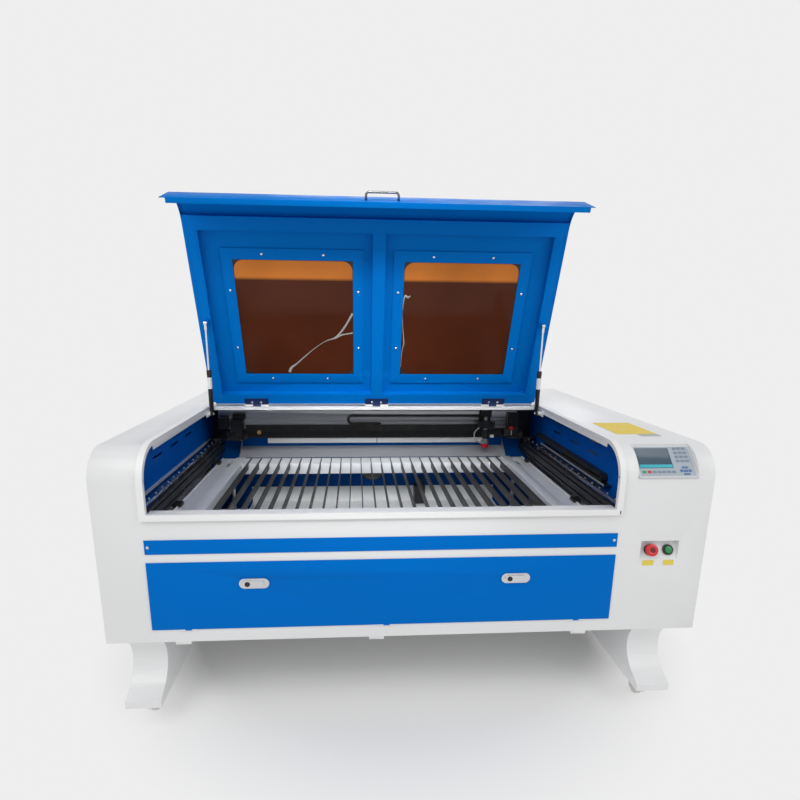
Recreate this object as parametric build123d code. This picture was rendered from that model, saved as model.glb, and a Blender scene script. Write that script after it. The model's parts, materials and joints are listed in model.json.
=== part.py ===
from build123d import *
import os
from math import atan2, cos, degrees, hypot, radians, sin

os.makedirs("parts", exist_ok=True)

# A gantry laser cutting machine on two stands, with its windowed lid raised.
# Millimetres. X runs to the operator's right, Y runs from the front to the rear, and Z is up
# from the floor. The origin is on the floor below the middle of the machine.

# Cabinet
body_width = 1900
body_depth = 1450
body_bottom = 280
body_top = 895
sheet = 2
front_edge_radius = 100
left_column_width = 161.5
right_column_width = 311
front_beam_drop = 189
flange_drop = 16
tube_bay_depth = 295
gap = 0.3

half_width = body_width / 2
front = -body_depth / 2
rear = body_depth / 2
opening_left = -half_width + left_column_width
opening_right = half_width - right_column_width
opening_middle = (opening_left + opening_right) / 2
opening_half = (opening_right - opening_left) / 2
deck_under = body_top - sheet
front_beam_top = body_top - front_beam_drop
rear_wall_y = rear - tube_bay_depth

# Stands and casters
stand_width = 110
stand_height = body_bottom - 80
stand_foot_reach = 48
stand_foot_edge = 23
stand_top_setback = 8
stand_waist = 42
stand_sheet = 3
left_stand_inset = 112
right_stand_inset = 140
left_stand_middle = -half_width + left_stand_inset
right_stand_middle = half_width - right_stand_inset
caster_wheel_radius = 29
caster_wheel_width = 22
caster_axle_radius = 5
caster_trail = 18
caster_setback = 75
caster_plate = 5
running_gap = 0.05

# Chamber lining and Y rails
chamber_side_room = 115.25
rail_wall_gap = 54
rail_beam_width = 40
rail_beam_height = 60
rail_beam_drop = 31
rail_width = 20
rail_height = 18
chamber_half_width = opening_half + chamber_side_room
rail_offset = chamber_half_width - rail_wall_gap
rail_beam_top = front_beam_top - rail_beam_drop
lining_bottom = rail_beam_top - 35

# Lid, drawn closed and then turned up about its hinge
lid_open_angle = 70
hinge_inset = 298
hinge_radius = 5
lid_overlap = 16
lid_rise = 33
lid_nose_radius = 120
lid_rear_gap = 8
lip_proud = 12
lip_width = 20
lid_seal_gap = 2
skirt_gap = 2.2
skirt_wall = 2.8
lid_ledge = 55
lid_bar_margin = 89
lid_bar_width = 50
lid_side_band = 55
lid_mullion = 50
window_ledge_margin = 87
window_bar_margin = 109
window_mullion_margin = 76
window_side_margin = 107.75
window_corner_radius = 40
window_thickness = 4
clamp_width = 42
clamp_thickness = 2
clamp_corner_radius = 2
lid_hinge_inset = 198
handle_length = 110
handle_reach = 26
handle_bar_radius = 4
hinge_y = rear_wall_y - hinge_inset

# Gas struts
strut_radius = 9
strut_rod_radius = 4
strut_lower_inset = 132
strut_lower_drop = 15
strut_upper_along = 383
strut_upper_drop = 12
strut_cylinder_length = 183
strut_pin_radius = 4
strut_edge_gap = 18
strut_lower_y = hinge_y - strut_lower_inset

# Table
strip_drop = 66
strip_pitch = 48.5
strip_thickness = 4
strip_height = 34
strip_edge_room = 26
strip_front_gap = 50
strip_rear_gap = 110
table_wall_gap = 83
table_side_width = 111
table_rear_width = 107
table_front_width = 30
table_frame_height = 50
table_bar_width = 44
table_bar_height = 5
screw_radius = 8
screw_inset = 56
strip_top = rail_beam_top - strip_drop
strip_front = front + strip_front_gap
strip_rear = rear_wall_y - strip_rear_gap
table_half_width = chamber_half_width - table_wall_gap

# Gantry
beam_wall_gap = 70
beam_depth = 40
beam_height = 90
beam_drop = 63
block_height = 22
gantry_plate_thickness = 6
beam_front = rear_wall_y - beam_wall_gap
beam_top = body_top - beam_drop

# Front panels
slot_cover_drop = 83
slot_cover_height = 46
door_cover_gap = 27.5
door_sill = 44
door_overlap = 17
door_thickness = 2.5
door_lip = 14
slot_cover_top = front_beam_top - slot_cover_drop
slot_cover_bottom = slot_cover_top - slot_cover_height
door_top = slot_cover_bottom - door_cover_gap
door_bottom = body_bottom + door_sill
door_left = opening_left - door_overlap
door_right = opening_right + door_overlap

# Controls
panel_width = 193
panel_outer_margin = 54
panel_drop = 10
panel_height = 86
panel_setback = 82
recess_width = 125
recess_outer_margin = 88
recess_drop = 301
recess_height = 64
recess_depth = 26
panel_right = half_width - panel_outer_margin
panel_left = panel_right - panel_width
panel_high = body_top - panel_drop
panel_low = panel_high - panel_height
recess_right = half_width - recess_outer_margin
recess_left = recess_right - recess_width
recess_high = body_top - recess_drop
recess_low = recess_high - recess_height


def plate(x, y, z):
    """A block between two X, two Y and two Z values."""
    size = Box(x[1] - x[0], y[1] - y[0], z[1] - z[0])
    return Pos((x[0] + x[1]) / 2, (y[0] + y[1]) / 2, (z[0] + z[1]) / 2) * size


def outline(points, rounds=None):
    """A closed flat face through the points, with some of its corners rounded."""
    face = make_face(Polyline(*points, close=True))
    for index, radius in (rounds or {}).items():
        wanted = Vector(*points[index])
        corner = face.vertices().sort_by_distance(wanted)[0]
        face = fillet(corner, radius)
    return face


def along_x(face, x):
    """Extrude a face drawn in Y and Z between two X values."""
    return extrude(Plane.YZ.offset(x[0]) * face, amount=x[1] - x[0])


def along_y(face, y):
    """Extrude a face drawn in X and Z between two Y values."""
    start = Plane((0, y[1], 0), x_dir=(1, 0, 0), z_dir=(0, -1, 0))
    return extrude(start * face, amount=y[1] - y[0])


def along_z(face, z):
    """Extrude a face drawn in X and Y between two Z values."""
    return extrude(Plane.XY.offset(z[0]) * face, amount=z[1] - z[0])


def rod(radius, x=None, y=None, z=None):
    """A round bar: the value given as a pair is the one it runs along."""
    if isinstance(x, tuple):
        turned = Rotation(0, 90, 0) * Cylinder(radius, x[1] - x[0])
        return Pos((x[0] + x[1]) / 2, y, z) * turned
    if isinstance(y, tuple):
        turned = Rotation(90, 0, 0) * Cylinder(radius, y[1] - y[0])
        return Pos(x, (y[0] + y[1]) / 2, z) * turned
    return Pos(x, y, (z[0] + z[1]) / 2) * Cylinder(radius, z[1] - z[0])


def group(*solids):
    """Several separate solids in one node."""
    return Compound(children=[piece for item in solids for piece in item.solids()])


def save(name, shape):
    """Write one sub-part to its own file."""
    export_step(shape, "parts/" + name + ".step")


def knuckles(middle, length, y, z, radius, pin_radius):
    """A hinge along X: the middle knuckle with its pin, and the two outer knuckles."""
    third = length / 3
    low = middle - length / 2
    moving = rod(radius, (low + third + gap / 2, low + 2 * third - gap / 2), y, z)
    moving += rod(pin_radius, (low + 2, low + length - 2), y, z)
    fixed = rod(radius, (low, low + third - gap / 2), y, z)
    fixed += rod(radius, (low + 2 * third + gap / 2, low + length), y, z)
    fixed -= rod(pin_radius + running_gap, (low - 1, low + length + 1), y, z)
    return moving, fixed


# Side housings: a rounded front edge, a deck, an outer side and a rear face

def housing_outline(inset):
    """The housing's side view, drawn in by a wall and left open below."""
    low = body_bottom if inset == 0 else body_bottom - 10
    points = [
        (front + inset, low),
        (front + inset, body_top - inset),
        (rear - inset, body_top - inset),
        (rear - inset, low),
    ]
    return outline(points, {1: front_edge_radius - inset})


def housing(outer_side, inner_side):
    """A folded housing with a narrow flange down from the deck's inner edge."""
    low = min(outer_side, inner_side)
    high = max(outer_side, inner_side)
    inward = 1 if inner_side > outer_side else -1
    body = along_x(housing_outline(0), (low, high))
    if inward > 0:
        room = (low + sheet, high + 10)
        flange_x = (inner_side - sheet, inner_side)
    else:
        room = (low - 10, high - sheet)
        flange_x = (inner_side, inner_side + sheet)
    body -= along_x(housing_outline(sheet), room)
    flange = plate(flange_x, (front + front_edge_radius, rear - sheet), (body_top - flange_drop, deck_under))
    return body + flange


left_housing = housing(-half_width, opening_left)
right_housing = housing(half_width, opening_right)

# Panel recess in the rounded front edge of the right housing
panel_front_y = front
panel_back_y = front + panel_setback


def panel_wedge(inset, x):
    """The wedge over the slanted control panel, grown by a wall."""
    length = hypot(panel_setback, panel_high - panel_low)
    shift_y = (panel_high - panel_low) / length * inset
    shift_z = -panel_setback / length * inset
    points = [
        (panel_front_y - 40, panel_low + shift_z - 40 * (panel_high - panel_low) / panel_setback),
        (panel_back_y + shift_y, panel_high + shift_z),
        (panel_back_y + shift_y, body_top + 20),
        (panel_front_y - 40, body_top + 20),
    ]
    return along_x(outline(points), x)


def scoop(inset, x):
    """The scooped recess behind the stop and start buttons, grown by a wall."""
    points = [
        (front - 10, recess_low - inset - 10 * (recess_high - recess_low) / recess_depth),
        (front + recess_depth + inset, recess_high + inset),
        (front - 10, recess_high + inset),
    ]
    return along_x(outline(points), x)


panel_x = (panel_left, panel_right)
scoop_x = (recess_left, recess_right)
panel_wall = panel_wedge(sheet, (panel_left - sheet, panel_right + sheet))
scoop_wall = scoop(sheet, (recess_left - sheet, recess_right + sheet))
housing_skin = along_x(housing_outline(0), (opening_right, half_width))
right_housing += (panel_wall & housing_skin) + (scoop_wall & housing_skin)
right_housing -= panel_wedge(0, panel_x)
right_housing -= scoop(0, scoop_x)

# Service door in the right side
service_door_setback = 165
service_door_length = 500
service_door_sill = 50
service_door_drop = 135
service_door_front = front + service_door_setback
service_door_rear = service_door_front + service_door_length
service_door_low = body_bottom + service_door_sill
service_door_high = body_top - service_door_drop
service_hole = plate(
    (half_width - 10, half_width + 10),
    (service_door_front, service_door_rear),
    (service_door_low, service_door_high),
)
right_housing -= service_hole

door_gap = 2
service_y = (service_door_front + door_gap, service_door_rear - door_gap)
service_z = (service_door_low + door_gap, service_door_high - door_gap)
service_x = (half_width - 2 * sheet, half_width - sheet)
service_pin_x = service_x[0] - 2
service_pin_y = service_y[1] - 4
service_pin_radius = 3
service_door = plate(service_x, service_y, service_z)
service_door += plate(
    (service_x[0] - 12, service_x[1]), (service_y[0], service_y[0] + sheet), service_z
)
tab_thickness = 4
for end, away in ((service_z[0], -1), (service_z[1], 1)):
    pin_z = tuple(sorted((end - away * 20, end + away * 12)))
    tab_z = tuple(sorted((end + away * 5, end + away * (5 + tab_thickness))))
    service_door += rod(service_pin_radius, service_pin_x, service_pin_y, pin_z)
    tab = plate((service_pin_x - 8, half_width - sheet), (service_pin_y - 10, service_pin_y + 10), tab_z)
    tab -= rod(service_pin_radius + running_gap, service_pin_x, service_pin_y, (tab_z[0] - 1, tab_z[1] + 1))
    right_housing += tab
for row in range(7):
    for column in range(2):
        slot_y = service_y[0] + 130 + column * 240
        slot_z = service_z[0] + 70 + row * 26
        service_door -= plate(
            (half_width - 10, half_width + 10), (slot_y - 90, slot_y + 90), (slot_z, slot_z + 6)
        )

save("service_door", service_door)

# Front wall between the housings, with the pass-through slot and the door opening
wall_x = (opening_left, opening_right)
front_wall = plate(wall_x, (front, front + sheet), (body_bottom, front_beam_top))
front_wall += plate(wall_x, (front, front + 30), (front_beam_top - sheet, front_beam_top))
slot_margin = 26
slot_x = (opening_left + slot_margin, opening_right - slot_margin)
slot_z = (slot_cover_bottom + 8, slot_cover_top - 8)
front_wall -= plate(slot_x, (front - 5, front + 5), slot_z)
doorway_z = (door_bottom + 12, door_top - 12)
front_wall -= plate(slot_x, (front - 5, front + 5), doorway_z)
front_wall += plate(slot_x, (front, front + 16), (doorway_z[1], doorway_z[1] + sheet))
tab_width = 48
tab_height = 10
for tab_x in (opening_left + 50, opening_middle - 56, opening_right - 104):
    front_wall += plate(
        (tab_x, tab_x + tab_width), (front, front + 30), (body_bottom - tab_height, body_bottom)
    )

# Raised lip round the opening
lip_outline = outline(
    [
        (front - lip_proud, front_beam_top - lip_width),
        (front - lip_proud, body_top + lip_proud),
        (hinge_y - 20, body_top + lip_proud),
        (hinge_y - 20, body_top),
        (front, body_top),
        (front, front_beam_top - lip_width),
    ],
    {1: front_edge_radius + lip_proud, 4: front_edge_radius},
)
lip_left = along_x(lip_outline, (opening_left - lip_width, opening_left))
lip_right = along_x(lip_outline, (opening_right, opening_right + lip_width))
lip_front = plate(
    (opening_left - lip_width, opening_right + lip_width),
    (front - lip_proud, front),
    (front_beam_top - lip_width, front_beam_top),
)
opening_lip = lip_left + lip_right + lip_front
save("opening_lip", opening_lip)

# Rear wall between the housings, with louvres and the exhaust hole
duct_radius = 60
duct_wall = 3
duct_x = opening_middle - 9
duct_z = body_bottom + 234
rear_wall = plate(wall_x, (rear - sheet, rear), (body_bottom, deck_under))
rear_wall -= rod(duct_radius, duct_x, (rear - 20, rear + 20), duct_z)
for side in (opening_left + 200, opening_right - 200):
    for row in range(8):
        low = 360 + row * 24
        rear_wall -= plate((side - 110, side + 110), (rear - 10, rear + 10), (low, low + 6))
save("rear_wall", rear_wall)

# Floor pan with an upturned rim
pan_rim = 24
pan_x = (-half_width + sheet, half_width - sheet)
pan_y = (front + sheet, rear - sheet)
floor_pan = plate(pan_x, pan_y, (body_bottom, body_bottom + pan_rim))
floor_pan -= plate(
    (pan_x[0] + sheet, pan_x[1] - sheet),
    (pan_y[0] + sheet, pan_y[1] - sheet),
    (body_bottom + sheet, body_bottom + pan_rim + 5),
)

# Chamber lining
chamber_left = opening_middle - chamber_half_width
chamber_right = opening_middle + chamber_half_width
lining_front = front + panel_setback + 12


def lining(x, front_end):
    """A side wall of the chamber with three pairs of louvre slots."""
    wall = plate((x - sheet / 2, x + sheet / 2), (front_end, rear_wall_y - sheet), (lining_bottom, deck_under))
    for pair in range(3):
        for row in range(2):
            low_y = front + 395 + pair * 190
            low_z = body_top - 125 + row * 46
            wall -= plate((x - 10, x + 10), (low_y, low_y + 90), (low_z, low_z + 8))
    return wall


left_lining = lining(chamber_left, front + sheet)
right_lining = lining(chamber_right, lining_front)
trimming = along_x(housing_outline(sheet), (-half_width, half_width))
save("side_linings", group(left_lining & trimming, right_lining & trimming))

rear_lining = plate(
    (chamber_left - sheet / 2, chamber_right + sheet / 2),
    (rear_wall_y - sheet, rear_wall_y),
    (body_bottom + pan_rim, deck_under),
)
rear_lining -= rod(duct_radius, duct_x, (rear_wall_y - 20, rear_wall_y + 20), duct_z)
beam_hole_x = opening_middle - rail_offset + 8
beam_hole_z = body_top - 125
rear_lining -= rod(12, beam_hole_x, (rear_wall_y - 20, rear_wall_y + 20), beam_hole_z)
for edge in (opening_left - sheet / 2, opening_right + sheet / 2):
    rear_lining -= plate(
        (edge - sheet, edge + sheet), (rear_wall_y - 10, rear_wall_y + 10), (body_top - flange_drop - 1, body_top)
    )
lining_face = rear_wall_y - sheet

# Lamp bar on the rear lining
lamp_bar_x = (opening_left + 175, opening_right - 149)
lamp_bar_z = (rail_beam_top - 18, rail_beam_top + 6)
lamp_bar = plate(lamp_bar_x, (lining_face - 12, lining_face), lamp_bar_z)

# Fume hood: a sloped plate behind the table, with an upright cheek at each end
hood_x = (opening_left + 45, opening_right - 50)
hood_front = strip_rear + 15
hood_low = strip_top - 7
hood_high = lamp_bar_z[0] - 17
hood_slope = outline(
    [
        (hood_front, hood_low),
        (lining_face, hood_high - sheet),
        (lining_face, hood_high),
        (hood_front, hood_low + sheet),
    ]
)
hood_cheek = outline([(hood_front, hood_low), (lining_face, hood_high - sheet), (lining_face, lamp_bar_z[1])])
hood = along_x(hood_slope, hood_x)
hood += along_x(hood_cheek, (hood_x[0], hood_x[0] + sheet)) + along_x(hood_cheek, (hood_x[1] - sheet, hood_x[1]))
save("rear_lining", group(rear_lining, lamp_bar, hood))

# Y rail beams: slotted aluminium profiles from the front wall to the rear lining


def slotted_face(width, height, slot, depth, slots_z, middle_x, low_z):
    """The section of an extruded beam with open slots in both sides."""
    face = Pos(middle_x, low_z + height / 2) * Rectangle(width, height)
    core = Pos(middle_x, low_z + height / 2) * Rectangle(width - 2 * depth - 6, height - 16)
    face -= core
    for z in slots_z:
        for side in (-1, 1):
            face -= Pos(middle_x + side * (width / 2 - depth / 2), z) * Rectangle(depth, slot)
    return face


rail_beams = []
for side in (-1, 1):
    middle = opening_middle + side * rail_offset
    low = rail_beam_top - rail_beam_height
    section = slotted_face(rail_beam_width, rail_beam_height, 8, 8, (low + 15, low + 45), middle, low)
    rail_beams.append(along_y(section, (front + sheet, lining_face)))


def chain_loop_face(start, bend, end, low, high, thickness):
    """The side view of a cable chain that is folded back on itself at its bend."""
    turn_radius = (high - low) / 2
    ahead = 1 if bend > start else -1
    centre = bend - ahead * turn_radius
    middle = (low + high) / 2
    upper = Pos((start + centre) / 2, high - thickness / 2) * Rectangle(abs(centre - start), thickness)
    lower = Pos((end + centre) / 2, low + thickness / 2) * Rectangle(abs(centre - end), thickness)
    ring = Pos(centre, middle) * (Circle(turn_radius) - Circle(turn_radius - thickness))
    half_plane = Pos(centre + ahead * turn_radius, middle) * Rectangle(2 * turn_radius, 3 * turn_radius)
    return upper + lower + (ring & half_plane)


# Cable chain for the gantry, on a shelf along the right lining
y_chain_x = (chamber_right - sheet / 2 - 27, chamber_right - sheet / 2)
y_chain_low = rail_beam_top + 20
y_chain_high = y_chain_low + 34
y_chain_face = chain_loop_face(rear_wall_y - 130, front + 295, front + 700, y_chain_low, y_chain_high, 13)
y_chain = along_x(y_chain_face, (y_chain_x[0] + 1, y_chain_x[1] - 1))
y_chain += plate(y_chain_x, (front + 260, rear_wall_y - 200), (y_chain_low - sheet, y_chain_low))
save("rail_beams", group(*rail_beams, y_chain))

rail_front = front + 30
rail_rear = rear_wall_y - 10
y_rails = []
for side in (-1, 1):
    middle = opening_middle + side * rail_offset
    half = rail_width / 2
    section = outline(
        [
            (middle - half, rail_beam_top),
            (middle - half, rail_beam_top + 6),
            (middle - half + 3, rail_beam_top + 9),
            (middle - half, rail_beam_top + 12),
            (middle - half, rail_beam_top + rail_height),
            (middle + half, rail_beam_top + rail_height),
            (middle + half, rail_beam_top + 12),
            (middle + half - 3, rail_beam_top + 9),
            (middle + half, rail_beam_top + 6),
            (middle + half, rail_beam_top),
        ]
    )
    y_rails.append(along_y(section, (rail_front, rail_rear)))
save("y_rails", group(*y_rails))

# Crossbar behind the opening, which carries the hinges
crossbar_top = body_top - hinge_radius - 1
crossbar_low = crossbar_top - 12
crossbar_y = (hinge_y - 20, hinge_y + 22)
crossbar = plate(wall_x, crossbar_y, (crossbar_low, crossbar_top))
crossbar -= plate(
    (wall_x[0] - 1, wall_x[1] + 1), (crossbar_y[0] + sheet, crossbar_y[1] - sheet), (crossbar_low - 1, crossbar_top - sheet)
)

# Rear cover over the tube bay, hinged at its front edge
cover_hinge_radius = 4
cover_hinge_y = crossbar_y[1] + cover_hinge_radius + 1
cover_hinge_z = body_top - cover_hinge_radius - 3
cover_x = (opening_left + 2, opening_right - 2)
cover_y = (cover_hinge_y + cover_hinge_radius + 3, rear)
rear_cover = plate(cover_x, cover_y, (body_top - sheet, body_top))
rear_cover += plate(cover_x, (cover_y[0], cover_y[0] + sheet), (body_top - 14, body_top))
rear_cover += plate(cover_x, (cover_y[1] - 14, cover_y[1] - 12), (body_top - 14, body_top))
cover_hinge_inset = 234
for middle in (opening_left + cover_hinge_inset, opening_right - cover_hinge_inset):
    moving, fixed = knuckles(middle, 90, cover_hinge_y, cover_hinge_z, cover_hinge_radius, 1.5)
    web_z = (cover_hinge_z - 1, cover_hinge_z + 1)
    rear_cover += moving + plate((middle - 14, middle + 14), (cover_hinge_y + 2, cover_y[0] + 1), web_z)
    for end in (-1, 1):
        web_x = tuple(sorted((middle + end * 17, middle + end * 44)))
        fixed += plate(web_x, (crossbar_y[1] - 1, cover_hinge_y - 2), (crossbar_top - 2, crossbar_top))
    crossbar += fixed
save("rear_cover", rear_cover)

# Lid, modelled closed


def raised(shape):
    """Turn a closed lid piece up about the hinge."""
    return shape.rotate(Axis((0, hinge_y, body_top), (1, 0, 0)), -lid_open_angle)


def lid_y(along):
    """The Y value of a distance along the closed lid from its hinge."""
    return hinge_y - along


lid_left = opening_left - lid_overlap
lid_right = opening_right + lid_overlap - 4
lid_top = body_top + lid_rise
skirt_inside = front - lip_proud - skirt_gap
lid_front = skirt_inside - skirt_wall
lid_length = hinge_y - lid_front
lid_rear = lid_y(lid_rear_gap)
skirt_low = front_beam_top + lid_seal_gap
rim = body_top + lip_proud + lid_seal_gap
nose_y = front + front_edge_radius
nose_z = body_top - front_edge_radius

lid_body = outline(
    [
        (lid_rear, lid_top),
        (lid_front, lid_top),
        (lid_front, skirt_low),
        (skirt_inside, skirt_low),
        (skirt_inside, rim),
        (lid_rear, rim),
    ],
    {1: lid_nose_radius, 4: nose_y - skirt_inside},
)
lid_room = outline(
    [
        (lid_rear + 10, lid_top - sheet),
        (lid_front + sheet, lid_top - sheet),
        (lid_front + sheet, skirt_low - 10),
        (lid_rear + 10, skirt_low - 10),
    ],
    {1: lid_nose_radius - sheet},
)
lid_shell = along_x(lid_body, (lid_left, lid_right))
lid_shell -= along_x(lid_room, (lid_left + sheet, lid_right - sheet))
hem_x = (opening_left + 3, opening_right - 3)
hem_depth = 18
lid_shell += plate(hem_x, (lid_front, lid_front + hem_depth), (skirt_low, skirt_low + sheet))

lid_bar_end = lid_length - lid_bar_margin
lid_bay_end = lid_bar_end - lid_bar_width
window_y = (lid_y(lid_bay_end - window_bar_margin), lid_y(lid_ledge + window_ledge_margin))
lid_middle = (lid_left + lid_right) / 2
window_width = (lid_right - lid_left - lid_mullion) / 2 - lid_side_band - window_mullion_margin - window_side_margin
window_offset = (lid_mullion + window_width) / 2 + window_mullion_margin
window_middles = (lid_middle - window_offset, lid_middle + window_offset)


def window_face(middle, grow, radius):
    """A rounded rectangle the size of a window, grown on every side."""
    width = window_width + 2 * grow
    length = window_y[1] - window_y[0] + 2 * grow
    centre_y = (window_y[0] + window_y[1]) / 2
    return Pos(middle, centre_y) * RectangleRounded(width, length, radius)


for middle in window_middles:
    cutter = window_face(middle, 0, window_corner_radius)
    lid_shell -= along_z(cutter, (lid_top - 10, lid_top + 10))
save("lid_shell", raised(lid_shell))

pane_top = lid_top - sheet
pane_low = pane_top - window_thickness
panes = []
clamps = []
for middle in window_middles:
    pane = along_z(window_face(middle, 20, window_corner_radius), (pane_low, pane_top))
    panes.append(raised(pane))
    ring = window_face(middle, clamp_width, 6) - window_face(middle, 0, clamp_corner_radius)
    clamps.append(raised(along_z(ring, (pane_low - clamp_thickness, pane_low))))
save("lid_windows", group(*panes))
save("window_clamps", group(*clamps))

# Lid inner frame: two cross rails, two side rails and a mullion, butted round the two window bays
frame_x = (opening_left + 3, opening_right - 4)
step_x = (lid_left + sheet, lid_right - sheet)
frame_y = (lid_y(lid_bar_end), lid_rear)
bay_y = (lid_y(lid_bay_end), lid_y(lid_ledge))
bay_left = lid_left + lid_side_band
bay_right = lid_right - lid_side_band
mullion_left = lid_middle - lid_mullion / 2
mullion_right = lid_middle + lid_mullion / 2
frame_z = (body_top, lid_top - sheet)
inner_frame = plate(frame_x, frame_y, (body_top, body_top + sheet))
inner_frame += plate(frame_x, (frame_y[0], frame_y[0] + sheet), frame_z)
inner_frame += plate(frame_x, (frame_y[1] - sheet, frame_y[1]), frame_z)
rim_z = (rim, rim + sheet)
inner_frame += plate((step_x[0], frame_x[0] + sheet), frame_y, rim_z)
inner_frame += plate((frame_x[1] - sheet, step_x[1]), frame_y, rim_z)
inner_frame += plate((frame_x[0], frame_x[0] + sheet), frame_y, (body_top, rim + sheet))
inner_frame += plate((frame_x[1] - sheet, frame_x[1]), frame_y, (body_top, rim + sheet))
bays = ((bay_left, mullion_left), (mullion_right, bay_right))
for bay in bays:
    inner_frame += plate((bay[0] - sheet, bay[1] + sheet), (bay_y[0] - sheet, bay_y[1] + sheet), frame_z)
for bay in bays:
    inner_frame -= plate(bay, bay_y, (body_top - 1, lid_top))
inner_frame = inner_frame & along_x(lid_room, (lid_left + sheet, lid_right - sheet))

# Lid handle: a bent bar on the skirt
handle_z = skirt_low + 28
handle_half = handle_length / 2
handle_path = FilletPolyline(
    (lid_middle - handle_half, lid_front, handle_z),
    (lid_middle - handle_half, lid_front - handle_reach, handle_z),
    (lid_middle + handle_half, lid_front - handle_reach, handle_z),
    (lid_middle + handle_half, lid_front, handle_z),
    radius=10,
)
handle_section = Plane((lid_middle - handle_half, lid_front, handle_z), z_dir=(0, -1, 0)) * Circle(handle_bar_radius)
lid_handle = sweep(handle_section, path=handle_path)
save("lid_handle", raised(lid_handle))

# Lid hinges: three knuckle hinges, each leaf with its own node
hinge_length = 104
hinge_pin_radius = 2
hinge_middles = (lid_left + lid_hinge_inset, lid_middle, lid_right - lid_hinge_inset)
lid_leaves = []
bar_leaves = []
for middle in hinge_middles:
    third = hinge_length / 3
    low_x = middle - hinge_length / 2
    for index in range(3):
        knuckle_x = (low_x + index * third + gap / 2, low_x + (index + 1) * third - gap / 2)
        knuckle = rod(hinge_radius, knuckle_x, hinge_y, body_top)
        if index == 1:
            pin_x = (low_x + 2, low_x + hinge_length - 2)
            leaf_y = (hinge_y - 34, hinge_y)
            leaf = knuckle + plate(knuckle_x, leaf_y, (body_top - sheet, body_top))
            leaf += plate((low_x, low_x + hinge_length), (hinge_y - 34, lid_rear - 1), (body_top - sheet, body_top))
            leaf -= rod(hinge_radius + gap, (low_x - 1, knuckle_x[0] - gap / 2), hinge_y, body_top)
            leaf -= rod(hinge_radius + gap, (knuckle_x[1] + gap / 2, low_x + hinge_length + 1), hinge_y, body_top)
            leaf += rod(hinge_pin_radius, pin_x, hinge_y, body_top)
            lid_leaves.append(raised(leaf))
        else:
            leaf = knuckle + plate(knuckle_x, (hinge_y, hinge_y + 14), (crossbar_top, crossbar_top + sheet))
            leaf += plate(knuckle_x, (hinge_y - 1, hinge_y + 1), (crossbar_top, body_top - 2))
            leaf -= rod(hinge_pin_radius + running_gap, (knuckle_x[0] - 1, knuckle_x[1] + 1), hinge_y, body_top)
            bar_leaves.append(leaf)
save("lid_hinge_leaves", group(*lid_leaves))
for leaf in bar_leaves:
    crossbar += leaf
save("hinge_crossbar", crossbar)

# Gas struts
lower_pivot = (strut_lower_y, body_top - strut_lower_drop)
closed_upper = (lid_y(strut_upper_along), body_top - strut_upper_drop)
turn = radians(-lid_open_angle)
offset_y = closed_upper[0] - hinge_y
offset_z = closed_upper[1] - body_top
open_upper = (
    hinge_y + offset_y * cos(turn) - offset_z * sin(turn),
    body_top + offset_y * sin(turn) + offset_z * cos(turn),
)
open_length = hypot(open_upper[0] - lower_pivot[0], open_upper[1] - lower_pivot[1])
closed_length = hypot(closed_upper[0] - lower_pivot[0], closed_upper[1] - lower_pivot[1])
open_angle = degrees(atan2(open_upper[1] - lower_pivot[1], open_upper[0] - lower_pivot[0]))
closed_angle = degrees(atan2(closed_upper[1] - lower_pivot[1], closed_upper[0] - lower_pivot[0]))
strut_stroke = open_length - closed_length
print("strut open", round(open_length, 2), "closed", round(closed_length, 2), "stroke", round(strut_stroke, 2))
print("strut turn", round(closed_angle - open_angle, 3), "upper", [round(v, 2) for v in open_upper])
print("rod axis", round(cos(radians(open_angle)), 6), round(sin(radians(open_angle)), 6))

eye_width = 12
eye_radius = 8


def strut_cylinder(x):
    """The strut's cylinder standing on its lower eye, built upright at the pivot."""
    bore = strut_rod_radius + gap
    body = rod(strut_radius, x, 0, (eye_radius + 4, strut_cylinder_length))
    body -= rod(strut_radius - 1.5, x, 0, (eye_radius + 10, strut_cylinder_length - 8))
    body -= rod(bore, x, 0, (strut_cylinder_length - 20, strut_cylinder_length + 1))
    eye = rod(eye_radius, (x - eye_width / 2, x + eye_width / 2), 0, 0)
    neck = rod(5, x, 0, (3, eye_radius + 6))
    body = body + neck + eye
    return body - rod(strut_pin_radius + running_gap, (x - 20, x + 20), 0, 0)


def strut_rod(x):
    """The strut's polished rod with its piston and its upper end fitting."""
    piston_low = open_length - strut_stroke - 105
    body = rod(strut_rod_radius, x, 0, (piston_low, open_length - 4))
    body += rod(strut_radius - 1.5 - gap, x, 0, (piston_low, piston_low + 12))
    body += rod(6, x, 0, (open_length - 26, open_length - 4))
    return body + rod(eye_radius, (x - eye_width / 2, x + eye_width / 2), 0, open_length)


def set_on_pivot(shape):
    """Lean an upright strut piece to its open angle and set it on the lower pivot."""
    leaned = shape.rotate(Axis.X, open_angle - 90)
    return Pos(0, lower_pivot[0], lower_pivot[1]) * leaned


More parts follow.
